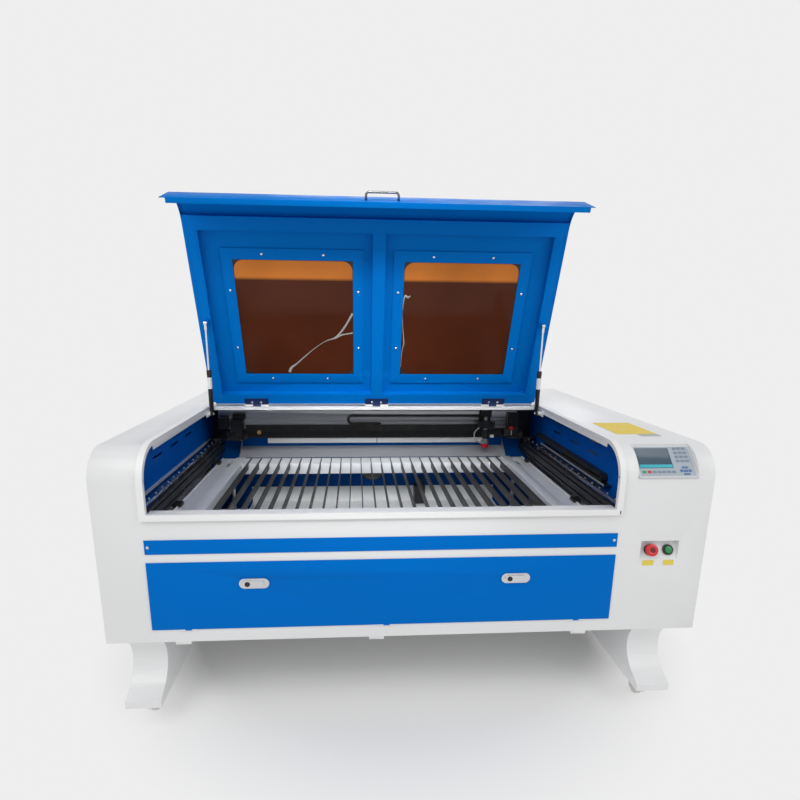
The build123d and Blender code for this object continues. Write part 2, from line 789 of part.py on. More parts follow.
strut_left_x = opening_left + strut_edge_gap
strut_right_x = opening_right - strut_edge_gap - 7
for side, x, edge, away in (
    ("left", strut_left_x, opening_left, 1),
    ("right", strut_right_x, opening_right, -1),
):
    save(side + "_strut_cylinder", set_on_pivot(strut_cylinder(x)))
    save(side + "_strut_rod", set_on_pivot(strut_rod(x)))
    foot_x = sorted((edge, edge + away * 4))
    pin_x = sorted((edge + away * 3, x + away * (eye_width / 2 + 2)))
    bracket = plate(foot_x, (strut_lower_y - 22, strut_lower_y + 22), (lower_pivot[1] - 12, deck_under))
    bracket += rod(strut_pin_radius, tuple(pin_x), strut_lower_y, lower_pivot[1])
    stop = x - away * (eye_width / 2 + gap)
    bracket += rod(eye_radius, tuple(sorted((edge + away * 4, stop))), strut_lower_y, lower_pivot[1])
    if side == "left":
        left_housing += bracket
    else:
        right_housing += bracket
    face = x + away * (eye_width / 2 + 0.5)
    post_x = sorted((face + away * 4, face + away * 7))
    stud = rod(5, tuple(sorted((face, face + away * 7))), closed_upper[0], closed_upper[1])
    post = plate(post_x, (closed_upper[0] - 14, closed_upper[0] + 14), (closed_upper[1] - 8, body_top))
    inner_frame += stud + post
seams = (frame_y[0], bay_y[0], bay_y[1], frame_y[1])
frame_rails = group(*(
    inner_frame & plate((lid_left, lid_right), span, (body_top - lid_rise * 2, lid_top))
    for span in zip(seams, seams[1:])
))
save("lid_inner_frame", group(*(raised(rail) for rail in frame_rails.solids())))
save("left_housing", left_housing)

# Table: a folded frame, notched for the knife strips
table_x = (opening_middle - table_half_width, opening_middle + table_half_width)
table_y = (strip_front - 12, strip_rear + 12)
table_top = strip_top - 9
table_z = (table_top - table_frame_height, table_top)
inner_x = (table_x[0] + table_side_width, table_x[1] - table_side_width)
inner_y = (table_y[0] + table_front_width, table_y[1] - table_rear_width)
strip_room = inner_x[1] - inner_x[0] - 2 * strip_edge_room
strip_count = int(strip_room // strip_pitch) + 1
strips_left = opening_middle + 2 - strip_pitch * (strip_count - 1) / 2
table_frame = plate(table_x, table_y, table_z)
table_frame -= plate(
    (table_x[0] + sheet, table_x[1] - sheet),
    (table_y[0] + sheet, table_y[1] - sheet),
    (table_z[0] - 1, table_z[1] - sheet),
)
table_frame += plate(
    (inner_x[0] - sheet, inner_x[1] + sheet),
    (inner_y[0] - sheet, inner_y[1] + sheet),
    table_z,
)
table_frame -= plate(inner_x, inner_y, (table_z[0] - 1, table_z[1] + 1))
bar_z = (table_top - sheet, table_top + table_bar_height)
for bar_x in ((inner_x[0] - table_bar_width, inner_x[0]), (inner_x[1], inner_x[1] + table_bar_width)):
    table_frame += plate(bar_x, (table_y[0] + 2, table_y[1] - 2), bar_z)
    slot_middle = bar_x[0] - 12 if bar_x[0] < opening_middle else bar_x[1] + 12
    table_frame -= plate((slot_middle - 7, slot_middle + 7), (strip_rear - 140, strip_rear - 80), (table_z[0], bar_z[1]))
strip_z = (strip_top - strip_height, strip_top)
for index in range(strip_count):
    x = strips_left + index * strip_pitch
    notch = (x - strip_thickness / 2 - gap, x + strip_thickness / 2 + gap)
    for y in ((strip_front - 2, inner_y[0] + 5), (inner_y[1] - 5, strip_rear + 2)):
        table_frame -= plate(notch, y, (strip_z[0], table_top + 1))

strips = []
for index in range(strip_count):
    x = strips_left + index * strip_pitch
    half = strip_thickness / 2
    blade = outline(
        [
            (x - half, strip_z[0]),
            (x - half, strip_top - 8),
            (x - 0.6, strip_top),
            (x + 0.6, strip_top),
            (x + half, strip_top - 8),
            (x + half, strip_z[0]),
        ]
    )
    strips.append(along_y(blade, (strip_front, strip_rear)))
save("knife_strips", group(*strips))

# Four lead screws with their sprockets, turning in bearings on the floor pan
screw_xs = (table_x[0] + screw_inset, table_x[1] - screw_inset)
screw_ys = (table_y[0] + screw_inset + 20, table_y[1] - screw_inset)
pan_floor = body_bottom + sheet
screw_low = pan_floor + 2
screw_high = table_top - 4
bearing_top = pan_floor + 24
bearings = []
sprocket_z = (bearing_top + 2, bearing_top + 12)
sprocket_radius = 22
names = {
    (0, 0): "front_left_screw",
    (1, 0): "front_right_screw",
    (0, 1): "rear_left_screw",
    (1, 1): "rear_right_screw",
}
for (column, row), name in names.items():
    x = screw_xs[column]
    y = screw_ys[row]
    screw = rod(screw_radius, x, y, (screw_low, screw_high))
    screw += rod(sprocket_radius, x, y, sprocket_z)
    save(name, screw)
    block = along_z(Pos(x, y) * RectangleRounded(60, 60, 6), (pan_floor, bearing_top))
    bearings.append(block - rod(screw_radius + running_gap, x, y, (screw_low - gap, bearing_top + 1)))
    nut = rod(screw_radius + 8, x, y, (table_z[0] + 6, table_top - sheet))
    table_frame += nut
    table_frame -= rod(screw_radius + running_gap, x, y, (table_z[0] - 1, table_top + 1))
save("table_frame", table_frame)

# Chamber floor above the pan: a sheet on front legs, with a riser against the rear lining
tray_top = pan_floor + 60
tray_x = (inner_x[0] + 5, inner_x[1] - 5)
tray_y = (front + 30, lining_face)
tray = plate(tray_x, tray_y, (tray_top - sheet, tray_top))
tray += plate(tray_x, (tray_y[1] - sheet, tray_y[1]), (tray_top - sheet, tray_top + 81))
for x in (tray_x[0] + 200, tray_x[1] - 200):
    tray += plate((x - 20, x + 20), (tray_y[0], tray_y[0] + 16), (pan_floor, tray_top - sheet))
save("floor_pan", group(floor_pan, *bearings, tray))

# Lift motor, and the chain round the four sprockets
chain_gap = 0.5
chain_thickness = 4
chain_z = (sprocket_z[0] + 2, sprocket_z[1] - 2)


def chain_loop(grow):
    """The rounded rectangle that wraps the four sprockets."""
    reach = sprocket_radius + chain_gap + grow
    width = screw_xs[1] - screw_xs[0] + 2 * reach
    length = screw_ys[1] - screw_ys[0] + 2 * reach
    centre = Pos((screw_xs[0] + screw_xs[1]) / 2, (screw_ys[0] + screw_ys[1]) / 2)
    return centre * RectangleRounded(width, length, reach)


lift_chain = along_z(chain_loop(chain_thickness) - chain_loop(0), chain_z)
save("lift_chain", lift_chain)

motor_x = opening_middle + 232
motor_y = lining_face - sheet - gap - 30
lift_motor = plate((motor_x - 28, motor_x + 28), (motor_y - 28, motor_y + 28), (tray_top, tray_top + 96))
lift_motor += plate((motor_x - 34, motor_x + 34), (motor_y - 30, motor_y + 30), (tray_top, tray_top + 6))
lift_motor += rod(20, motor_x, motor_y, (tray_top + 95, tray_top + 130))
save("lift_motor", lift_motor)

# Gantry: carriage blocks on the Y rails, end plates, and a slotted beam between them
gantry_y = (beam_front - 30, beam_front + 60)
block_low = rail_beam_top + 3
block_top = rail_beam_top + block_height
blocks = []
for side in (-1, 1):
    middle = opening_middle + side * rail_offset
    block = plate((middle - 24, middle + 24), gantry_y, (block_low, block_top))
    block -= plate(
        (middle - rail_width / 2 - gap, middle + rail_width / 2 + gap),
        (gantry_y[0] - 1, gantry_y[1] + 1),
        (block_low - 1, rail_beam_top + rail_height + gap),
    )
    blocks.append(block)
plate_z = (block_top, block_top + gantry_plate_thickness)
beam_low = beam_top - beam_height
beam_x = (opening_middle - rail_offset + 12, opening_middle + rail_offset - 60)
ends = []
for side, block in ((-1, blocks[0]), (1, blocks[1])):
    middle = opening_middle + side * rail_offset
    inner = beam_x[0] + 60 if side < 0 else beam_x[1] - 60
    outer = middle + side * 24
    reach = tuple(sorted((inner, outer)))
    end = plate(reach, gantry_y, plate_z)
    post_x = tuple(sorted((inner, inner + side * gantry_plate_thickness)))
    end += plate(reach, (beam_front + beam_depth, beam_front + beam_depth + 6), (plate_z[0], beam_top - 4))
    end += plate(post_x, (beam_front + beam_depth, gantry_y[1]), (plate_z[0], beam_top - 30))
    shelf = tuple(sorted((inner, middle - side * 30)))
    end += plate(shelf, (beam_front, beam_front + beam_depth), (plate_z[1], beam_low))
    ends.append(end + block)

beam_section_slots = (beam_low + 13, beam_low + 32, beam_low + 54)
beam_face = Pos(beam_front + beam_depth / 2, beam_low + beam_height / 2) * Rectangle(beam_depth, beam_height)
beam_face -= Pos(beam_front + beam_depth / 2, beam_low + beam_height / 2) * Rectangle(beam_depth - 24, beam_height - 14)
for z in beam_section_slots:
    beam_face -= Pos(beam_front + 3, z) * Rectangle(6, 8)
gantry_beam = along_x(beam_face, beam_x)

x_rail_height = 12
x_rail_width = 15
x_rail_middle = beam_front + beam_depth / 2
x_rail_x = (beam_x[0] + 20, beam_x[1] - 20)
x_rail = plate(
    x_rail_x,
    (x_rail_middle - x_rail_width / 2, x_rail_middle + x_rail_width / 2),
    (beam_top, beam_top + x_rail_height),
)
save("gantry_beam", gantry_beam + x_rail)

# Black guard over the belt below the beam's slots
guard_face = outline(
    [
        (beam_front - 4, beam_low - 12),
        (beam_front - 4, beam_low + 20),
        (beam_front, beam_low + 20),
        (beam_front, beam_low),
        (beam_front + 24, beam_low),
        (beam_front + 24, beam_low - 4),
        (beam_front, beam_low - 4),
        (beam_front, beam_low - 12),
    ]
)
guard_x = (beam_x[0] + 130, beam_x[1] - 150)

# Cable chain for the head, folded on the guard in the gap between the beam and the carriage
head_x = opening_right - 165
x_chain_face = chain_loop_face(head_x, opening_middle - 138, opening_middle + 23, beam_low + 20, beam_low + 72, 12)
x_chain = along_y(x_chain_face, (beam_front - 6, beam_front - 1.2))
save("belt_guard", along_x(guard_face, guard_x) + x_chain)

motor_block = plate(
    (beam_x[0] + 66, beam_x[0] + 122),
    (beam_front - 46, beam_front),
    (beam_low - 4, beam_low + 52),
)
ends[0] += motor_block
save("gantry_ends", group(*ends))

# Head carriage over the beam, with the focus tube and its nozzle
head_half = 28
head_front = beam_front - 12
carriage = plate(
    (head_x - head_half, head_x + head_half),
    (head_front, beam_front + beam_depth - 2),
    (beam_top + x_rail_height + 4, beam_top + x_rail_height + 8),
)
carriage += plate(
    (head_x - head_half, head_x + head_half),
    (head_front, head_front + 5),
    (beam_low + 10, beam_top + x_rail_height + 8),
)
carriage += plate(
    (head_x - 24, head_x + 24),
    (x_rail_middle - 17, x_rail_middle + 17),
    (beam_top + 2, beam_top + x_rail_height + 4),
)
carriage -= plate(
    (head_x - 60, head_x + 60),
    (x_rail_middle - x_rail_width / 2 - gap, x_rail_middle + x_rail_width / 2 + gap),
    (beam_top + 1, beam_top + x_rail_height + gap),
)
tube_radius = 12.5
tube_y = head_front - 26
sleeve_z = (beam_low + 10, beam_low + 50)
sleeve = plate((head_x - 20, head_x + 20), (tube_y - 18, head_front), sleeve_z)
sleeve -= rod(tube_radius + running_gap, head_x, tube_y, (sleeve_z[0] - 1, sleeve_z[1] + 1))
carriage += sleeve

nozzle_tip = strip_top + 31
focus_tube = rod(tube_radius, head_x, tube_y, (nozzle_tip + 34, sleeve_z[1] + 16))
focus_tube += rod(tube_radius + 5, head_x, tube_y, (nozzle_tip + 34, nozzle_tip + 50))
focus_tube -= rod(tube_radius - 2.5, head_x, tube_y, (nozzle_tip + 30, sleeve_z[1] + 20))
save("focus_tube", focus_tube)
cone = Pos(head_x, tube_y, nozzle_tip + 17) * Cone(3, tube_radius, 34)
cone -= rod(1.5, head_x, tube_y, (nozzle_tip - 1, nozzle_tip + 35))
save("nozzle", cone)

mirror_block = plate((head_x - 18, head_x + 18), (tube_y - 16, head_front), (sleeve_z[1] + 18, sleeve_z[1] + 60))
mirror_block -= rod(9, head_x, tube_y, (sleeve_z[1] + 17, sleeve_z[1] + 45))
save("head_carriage", carriage + mirror_block)

mirror_two = plate((beam_x[0] + 8, beam_x[0] + 52), (beam_front - 40, beam_front), (beam_low + 8, beam_low + 60))
save("gantry_mirror_mount", mirror_two)

# Front door, hinged along its lower edge, and the slot cover above it
door_x = (door_left, door_right)
door_back = front - 0.5
front_door = plate(door_x, (door_back - door_thickness, door_back), (door_bottom, door_top))
return_x = (slot_x[0] + 3, slot_x[1] - 3)
return_z = (doorway_z[0] + 3, doorway_z[1] - 8)
front_door += plate(return_x, (door_back, door_back + door_lip), (return_z[0], return_z[0] + sheet))
front_door += plate(return_x, (door_back, door_back + door_lip), (return_z[1] - sheet, return_z[1]))
lock_drop = 71.5
lock_inset = 321
lock_shift = 20
lock_radius = 11
lock_z = door_top - lock_drop
lock_xs = (door_left + lock_inset - lock_shift, door_right - lock_inset - lock_shift)
door_hinge_y = front - 2
door_hinge_z = door_bottom - 2
for x in lock_xs:
    front_door -= rod(lock_radius, x, (door_back - 10, door_back + 10), lock_z)
door_hinge_inset = 94
for middle in (opening_left + door_hinge_inset, opening_middle, opening_right - door_hinge_inset):
    moving, fixed = knuckles(middle, 60, door_hinge_y, door_hinge_z, 1.9, 0.9)
    front_door += moving + plate((middle - 9, middle + 9), (door_hinge_y - 1, door_back), (door_hinge_z, door_bottom + 1))
    for end in (-1, 1):
        web_x = tuple(sorted((middle + end * 12, middle + end * 29)))
        fixed += plate(web_x, (door_hinge_y + 1, front), (door_hinge_z - 6, door_hinge_z))
    front_wall += fixed
save("front_door", front_door)
save("front_wall", front_wall)
slot_cover = plate(door_x, (front - 2.5, front), (slot_cover_bottom, slot_cover_top))
save("slot_cover", slot_cover)

lock_length = 92
lock_height = 33
lock_plate_y = (door_back - door_thickness - 4, door_back - door_thickness)
lock_plates = []
for name, x in (("left_door_lock", lock_xs[0]), ("right_door_lock", lock_xs[1])):
    oval = Pos(x + lock_shift, lock_z) * SlotOverall(lock_length, lock_height)
    oval -= Pos(x, lock_z) * Circle(lock_radius)
    lock_plates.append(along_y(oval, lock_plate_y))
    handle = Pos(x + 18, lock_z) * SlotOverall(66, 20)
    handle += Pos(x, lock_z) * Circle(lock_radius - gap)
    lock = along_y(handle, (lock_plate_y[0] - gap - 4, lock_plate_y[0] - gap))
    lock += rod(lock_radius - gap, x, (lock_plate_y[0] - 1, door_back + 22), lock_z)
    lock += plate((x - 9, x + 66), (door_back + 18, door_back + 21), (lock_z - 9, lock_z + 9))
    save(name, lock)
save("lock_plates", group(*lock_plates))

# Control panel on its slanted seat
panel_length = hypot(panel_setback, panel_high - panel_low)
panel_tilt = degrees(atan2(panel_high - panel_low, panel_setback))
panel_plane = Plane(
    ((panel_left + panel_right) / 2, front + panel_setback / 2, (panel_low + panel_high) / 2),
    x_dir=(1, 0, 0),
    z_dir=(0, -sin(radians(panel_tilt)), cos(radians(panel_tilt))),
)
bezel_width = panel_right - panel_left - 2
bezel = extrude(panel_plane * RectangleRounded(bezel_width, panel_length - 2, 4), amount=9)
screen_width = 88
screen_height = 66
screen_place = Pos(-42, 14)
bezel -= extrude(panel_plane.offset(7) * (screen_place * Rectangle(screen_width, screen_height)), amount=4)
save("control_panel", bezel)
screen_size = Rectangle(screen_width - gap, screen_height - gap)
screen = extrude(panel_plane.offset(7) * (screen_place * screen_size), amount=1)
save("display_screen", screen)

# Stop and start buttons on the scoop's floor
scoop_tilt = degrees(atan2(recess_depth, recess_high - recess_low))
button_out = Vector(0, -cos(radians(scoop_tilt)), sin(radians(scoop_tilt)))


def button_plane(x, z):
    """A plane on the scoop's floor that looks out of the recess."""
    depth = (z - recess_low) / (recess_high - recess_low) * recess_depth
    return Plane((x, front + depth, z), x_dir=(1, 0, 0), z_dir=button_out)


button_z = recess_low + 28
stop_x = recess_left + 35
start_x = recess_right - 30
button_bore = 8
for x in (stop_x, start_x):
    hole = extrude(button_plane(x, button_z) * Circle(button_bore + 3), amount=40, both=True)
    right_housing -= hole
save("right_housing", right_housing)

base = extrude(button_plane(stop_x, button_z) * (Circle(18) - Circle(button_bore + gap)), amount=5)
base += extrude(button_plane(stop_x, button_z) * (Circle(button_bore + 3) - Circle(button_bore + gap)), amount=-24)
bases = [base]
stop = extrude(button_plane(stop_x, button_z).offset(-20) * Circle(button_bore), amount=33)
cap = extrude(button_plane(stop_x, button_z).offset(13) * Circle(20), amount=12)
stop += chamfer(cap.edges().sort_by(Axis.Y)[0], 4)
save("stop_button", stop)
base = extrude(button_plane(start_x, button_z) * (Circle(15) - Circle(11 + gap)), amount=6)
base += extrude(button_plane(start_x, button_z) * (Circle(15) - Circle(button_bore + gap)), amount=1.5)
base += extrude(button_plane(start_x, button_z) * (Circle(button_bore + 3) - Circle(button_bore + gap)), amount=-24)
save("button_bases", group(*bases, base))
start = extrude(button_plane(start_x, button_z).offset(-20) * Circle(button_bore), amount=24)
start += extrude(button_plane(start_x, button_z).offset(4) * Circle(11), amount=6)
save("start_button", start)

# Laser tube on two cradles in the bay behind the chamber
tube_length = 1260
tube_outer = 40
tube_bay_y = rear_wall_y + 100
tube_bay_z = body_top - 135
tube_x = (opening_middle - tube_length / 2, opening_middle + tube_length / 2)
cradle_inset = 260
laser_tube = rod(tube_outer, tube_x, tube_bay_y, tube_bay_z)
laser_tube -= rod(tube_outer - 3, (tube_x[0] + 4, tube_x[1] - 4), tube_bay_y, tube_bay_z)
laser_tube += rod(14, (tube_x[0] - 30, tube_x[1] + 30), tube_bay_y, tube_bay_z)
laser_tube -= rod(10, (tube_x[0] - 31, tube_x[1] + 31), tube_bay_y, tube_bay_z)
save("laser_tube", laser_tube)
shelf_z = tube_bay_z - 120
tube_shelf = plate((chamber_left, chamber_right), (rear_wall_y, rear - sheet), (shelf_z - sheet, shelf_z))
for x in (tube_x[0] + cradle_inset, tube_x[1] - cradle_inset):
    cradle = plate((x - 20, x + 20), (tube_bay_y - 60, tube_bay_y + 60), (shelf_z, tube_bay_z + 2))
    cradle -= rod(tube_outer + gap, (x - 30, x + 30), tube_bay_y, tube_bay_z)
    tube_shelf += cradle
save("tube_shelf", tube_shelf)
spigot_radius = duct_radius - 1
spigot_length = 37
duct = rod(duct_radius, duct_x, (lining_face - 4, rear), duct_z)
duct += rod(duct_radius + 14, duct_x, (rear, rear + 3), duct_z)
duct += rod(spigot_radius, duct_x, (rear + 3, rear + 3 + spigot_length), duct_z)
duct -= rod(spigot_radius - duct_wall, duct_x, (rear_wall_y - 20, rear + 50), duct_z)
save("exhaust_duct", duct)

# Two stands, each one folded box from the front foot to the rear foot


def stand_outline(inset):
    """The stand's side view: bowed-in ends that flare out to the feet."""
    foot_low = body_bottom - stand_height
    foot = front - stand_foot_reach + inset
    top_y = front + stand_top_setback + inset
    waist = front + stand_waist + inset
    bend_z = foot_low + stand_foot_edge + 22
    bend = foot + 42
    low = foot_low if inset == 0 else foot_low + stand_sheet
    top = body_bottom - inset
    left = [
        Line((foot, low), (foot, foot_low + stand_foot_edge - inset / 2)),
        Line((foot, foot_low + stand_foot_edge - inset / 2), (bend, bend_z - inset / 2)),
        ThreePointArc((bend, bend_z - inset / 2), (waist, (bend_z + top) / 2), (top_y, top)),
        Line((top_y, top), (-top_y, top)),
        ThreePointArc((-top_y, top), (-waist, (bend_z + top) / 2), (-bend, bend_z - inset / 2)),
        Line((-bend, bend_z - inset / 2), (-foot, foot_low + stand_foot_edge - inset / 2)),
        Line((-foot, foot_low + stand_foot_edge - inset / 2), (-foot, low)),
        Line((-foot, low), (foot, low)),
    ]
    return make_face(Curve() + left)


stands = []
for middle in (left_stand_middle, right_stand_middle):
    side = (middle - stand_width / 2, middle + stand_width / 2)
    stand = along_x(stand_outline(0), side)
    stand -= along_x(stand_outline(stand_sheet), (side[0] + stand_sheet, side[1] - stand_sheet))
    opening_z = (body_bottom - stand_height - 5, body_bottom - stand_height + 10)
    stand -= plate((side[0] + 20, side[1] - 20), (front + 165, rear - 165), opening_z)
    stands.append(stand)
save("stands", group(*stands))

# Four swivel casters
caster_top = body_bottom - stand_height
pivot_ys = (front + caster_setback - 40, rear - caster_setback + 40)
for row_name, pivot_y in (("front", pivot_ys[0]), ("rear", pivot_ys[1])):
    for side_name, middle in (("left", left_stand_middle), ("right", right_stand_middle)):
        axle_y = pivot_y + caster_trail
        fork = rod(22, middle, pivot_y, (caster_top - gap - caster_plate, caster_top - gap))
        for side in (-1, 1):
            inner = side * (caster_wheel_width / 2 + 1)
            outer = side * (caster_wheel_width / 2 + 4)
            cheek = plate(
                tuple(sorted((middle + inner, middle + outer))),
                (pivot_y - 12, axle_y + 10),
                (caster_wheel_radius - 9, caster_top - gap - 1),
            )
            fork += cheek
        fork += rod(
            caster_axle_radius,
            (middle - caster_wheel_width / 2 - 4, middle + caster_wheel_width / 2 + 4),
            axle_y,
            caster_wheel_radius,
        )
        save(row_name + "_" + side_name + "_caster_fork", fork)
        wheel = rod(
            caster_wheel_radius,
            (middle - caster_wheel_width / 2, middle + caster_wheel_width / 2),
            axle_y,
            caster_wheel_radius,
        )
        wheel = chamfer(wheel.edges(), 3)
        wheel -= rod(caster_axle_radius + running_gap, (middle - 30, middle + 30), axle_y, caster_wheel_radius)
        save(row_name + "_" + side_name + "_caster_wheel", wheel)
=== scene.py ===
"""Looks of a gantry laser cutting machine with its windowed lid raised.

Each sub-assembly is a class that models its pieces, dresses them and names the body they ride on.
Pieces are modelled in millimetres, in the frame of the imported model, and the toolkit turns them to metres.
The studio's lengths are in metres.
"""
import json
import logging
import math
from dataclasses import dataclass
from enum import Enum
from typing import Callable, Iterable, Sequence

import bmesh
import bpy
from mathutils import Matrix, Vector


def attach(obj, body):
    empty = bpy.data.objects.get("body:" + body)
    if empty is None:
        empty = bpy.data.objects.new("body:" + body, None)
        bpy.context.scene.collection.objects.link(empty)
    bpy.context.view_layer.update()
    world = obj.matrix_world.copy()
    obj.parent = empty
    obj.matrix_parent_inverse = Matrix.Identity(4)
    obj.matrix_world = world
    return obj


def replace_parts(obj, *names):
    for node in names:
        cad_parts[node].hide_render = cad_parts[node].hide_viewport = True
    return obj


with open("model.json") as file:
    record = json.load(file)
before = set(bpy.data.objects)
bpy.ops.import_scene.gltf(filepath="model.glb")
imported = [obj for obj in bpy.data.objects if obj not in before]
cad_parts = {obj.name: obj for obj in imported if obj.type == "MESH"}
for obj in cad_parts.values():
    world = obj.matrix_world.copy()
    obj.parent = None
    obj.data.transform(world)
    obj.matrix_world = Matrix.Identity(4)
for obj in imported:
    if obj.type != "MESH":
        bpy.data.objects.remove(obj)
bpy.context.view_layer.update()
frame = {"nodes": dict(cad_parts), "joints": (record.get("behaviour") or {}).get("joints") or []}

MM = 0.001
LOG = logging.getLogger("laser_machine")

ORIGIN = (0, 0, 0)
BOTH_WAYS = (-1, 1)
# The least cosine between the way that a face looks, or an edge runs, and the way that is asked for.
FACING = 0.9

Colour = tuple[float, float, float]
Point = tuple[float, float, float]
Span = tuple[float, float]
Corner = tuple[float, int]
Test = Callable[[Vector, Vector], bool]
Socket = bpy.types.NodeSocket


class Axis(Enum):
    """The axis along which a grain or an edge runs, or whose two ends are meant."""

    X = 0
    Y = 1
    Z = 2


class Side(Enum):
    """A side of a piece, as the way that its faces look."""

    LEFT = (-1, 0, 0)
    RIGHT = (1, 0, 0)
    FRONT = (0, -1, 0)
    REAR = (0, 1, 0)
    UNDER = (0, 0, -1)
    TOP = (0, 0, 1)

    @property
    def axis(self) -> Axis:
        """Return the axis that the side's faces stand square to."""
        return next(axis for axis in Axis if self.value[axis.value])


class Graph:
    """A node tree that is being wired, with short calls for the nodes used most."""

    def __init__(self, tree: bpy.types.NodeTree) -> None:
        """Keep the tree and clear what it starts with.

        Args:
            tree: The node tree to fill.
        """
        self.tree = tree
        tree.nodes.clear()

    def add(self, kind: str, **values: object) -> bpy.types.Node:
        """Add a node and set its properties and input values.

        Args:
            kind: The node's Blender type.
            **values: Properties, or input sockets named with underscores for spaces.

        Returns:
            The new node.
        """
        node = self.tree.nodes.new(kind)
        for name, value in values.items():
            if hasattr(node, name):
                setattr(node, name, value)
            else:
                socket = node.inputs[name.replace("_", " ")]
                if isinstance(value, bpy.types.NodeSocket):
                    self.tree.links.new(value, socket)
                else:
                    socket.default_value = value
        return node

    def link(self, start: Socket, end: Socket) -> None:
        """Join an output to an input."""
        self.tree.links.new(start, end)

    def noise(self, vector: Socket, scale: float, detail: float = 3.0) -> Socket:
        """Add a noise texture and return its factor."""
        return self.add("ShaderNodeTexNoise", Vector=vector, Scale=scale, Detail=detail).outputs[0]

    def mapped(self, vector: Socket, scale: Sequence[float]) -> Socket:
        """Stretch a pattern along the axes and return the new vector."""
        return self.add("ShaderNodeMapping", Vector=vector, Scale=tuple(scale)).outputs[0]

    def math(self, operation: str, first: object, second: object = 0.0) -> Socket:
        """Add a math node.

        Args:
            operation: What it does with its two values.
            first: A number or a socket.
            second: A number or a socket.

        Returns:
            The node's value.
        """
        node = self.add("ShaderNodeMath", operation=operation)
        for index, value in enumerate((first, second)):
            if isinstance(value, bpy.types.NodeSocket):
                self.link(value, node.inputs[index])
            else:
                node.inputs[index].default_value = value
        return node.outputs[0]

    def span(self, value: Socket, source: Span, target: Span = (0.0, 1.0)) -> Socket:
        """Map a value from one range to another, clamped at both ends.

        Args:
            value: The socket to map.
            source: The range that it is mapped from.
            target: The range that it is mapped to.

        Returns:
            The mapped value.
        """
        node = self.add("ShaderNodeMapRange", Value=value)
        for name, amount in zip(("From Min", "From Max", "To Min", "To Max"), (*source, *target)):
            node.inputs[name].default_value = amount
        return node.outputs[0]

    def mix(self, factor: object, first: object, second: object) -> Socket:
        """Mix two colours.

        Args:
            factor: The second colour's share, a number or a socket.
            first: A colour or a socket.
            second: A colour or a socket.

        Returns:
            The mixed colour.
        """
        node = self.add("ShaderNodeMix", data_type="RGBA")
        for socket, value in ((node.inputs[0], factor), (node.inputs[6], first), (node.inputs[7], second)):
            if isinstance(value, bpy.types.NodeSocket):
                self.link(value, socket)
            elif socket.type == "RGBA":
                socket.default_value = (*value, 1.0)
            else:
                socket.default_value = value
        return node.outputs[2]


def new_group(name: str, inputs: dict[str, object],
              outputs: dict[str, str]) -> tuple[bpy.types.NodeTree, Graph]:
    """Start a shader node group with named sockets.

    Args:
        name: The group's name.
        inputs: Socket names with their default values, a number or a colour.
        outputs: Socket names with their socket types.

    Returns:
        The group and the graph that fills it.
    """
    tree = bpy.data.node_groups.new(name, "ShaderNodeTree")
    graph = Graph(tree)
    for label, value in inputs.items():
        kind = "NodeSocketFloat" if isinstance(value, float) else "NodeSocketColor"
        socket = tree.interface.new_socket(label, in_out="INPUT", socket_type=kind)
        socket.default_value = value if isinstance(value, float) else (*value, 1.0)
    for label, kind in outputs.items():
        tree.interface.new_socket(label, in_out="OUTPUT", socket_type=kind)
    return tree, graph


SURFACE_OUTPUTS = {"Colour": "NodeSocketColor", "Roughness": "NodeSocketFloat", "Height": "NodeSocketFloat"}


def close_group(graph: Graph, colour: Socket, roughness: Socket, height: Socket) -> None:
    """Join a shared effect's three results to its group's outputs.

    Args:
        graph: The group's graph.
        colour: The effect's colour.
        roughness: The effect's roughness.
        height: The effect's height, for a bump.
    """
    result = graph.add("NodeGroupOutput")
    for label, socket in zip(SURFACE_OUTPUTS, (colour, roughness, height)):
        graph.link(socket, result.inputs[label])


def coating_group() -> bpy.types.NodeTree:
    """Build the shared effect of a sprayed coat: orange peel, faint mottling, dust and small scuffs."""
    tree, graph = new_group(
        "sprayed_coat",
        {"Colour": (0.8, 0.8, 0.8), "Mottle": 0.05, "Dust": 0.1, "Roughness": 0.4, "Peel": 1.0},
        SURFACE_OUTPUTS,
    )
    given = graph.add("NodeGroupInput")
    place = graph.add("ShaderNodeTexCoord").outputs["Object"]
    broad = graph.span(graph.noise(place, 2.3, 4.0), (0.3, 0.7))
    shade = graph.math("MULTIPLY", graph.math("SUBTRACT", broad, 0.5), given.outputs["Mottle"])
    value = graph.math("ADD", 1.0, shade)
    tinted = graph.add("ShaderNodeHueSaturation", Color=given.outputs["Colour"], Value=value).outputs[0]
    speck = graph.span(graph.noise(place, 190.0, 2.0), (0.62, 0.78))
    patch = graph.span(graph.noise(place, 5.5, 5.0), (0.42, 0.72))
    dust = graph.math("MULTIPLY", graph.math("MULTIPLY", speck, patch), given.outputs["Dust"])
    colour = graph.mix(dust, tinted, (0.42, 0.41, 0.39))
    wiped = graph.noise(graph.mapped(place, (3.0, 3.0, 1.0)), 4.0, 6.0)
    smear = graph.span(wiped, (0.35, 0.75), (-0.05, 0.09))
    rough = graph.math("ADD", given.outputs["Roughness"], smear)
    peel = graph.math("MULTIPLY", graph.noise(place, 420.0, 1.0), given.outputs["Peel"])
    close_group(graph, colour, rough, peel)
    return tree


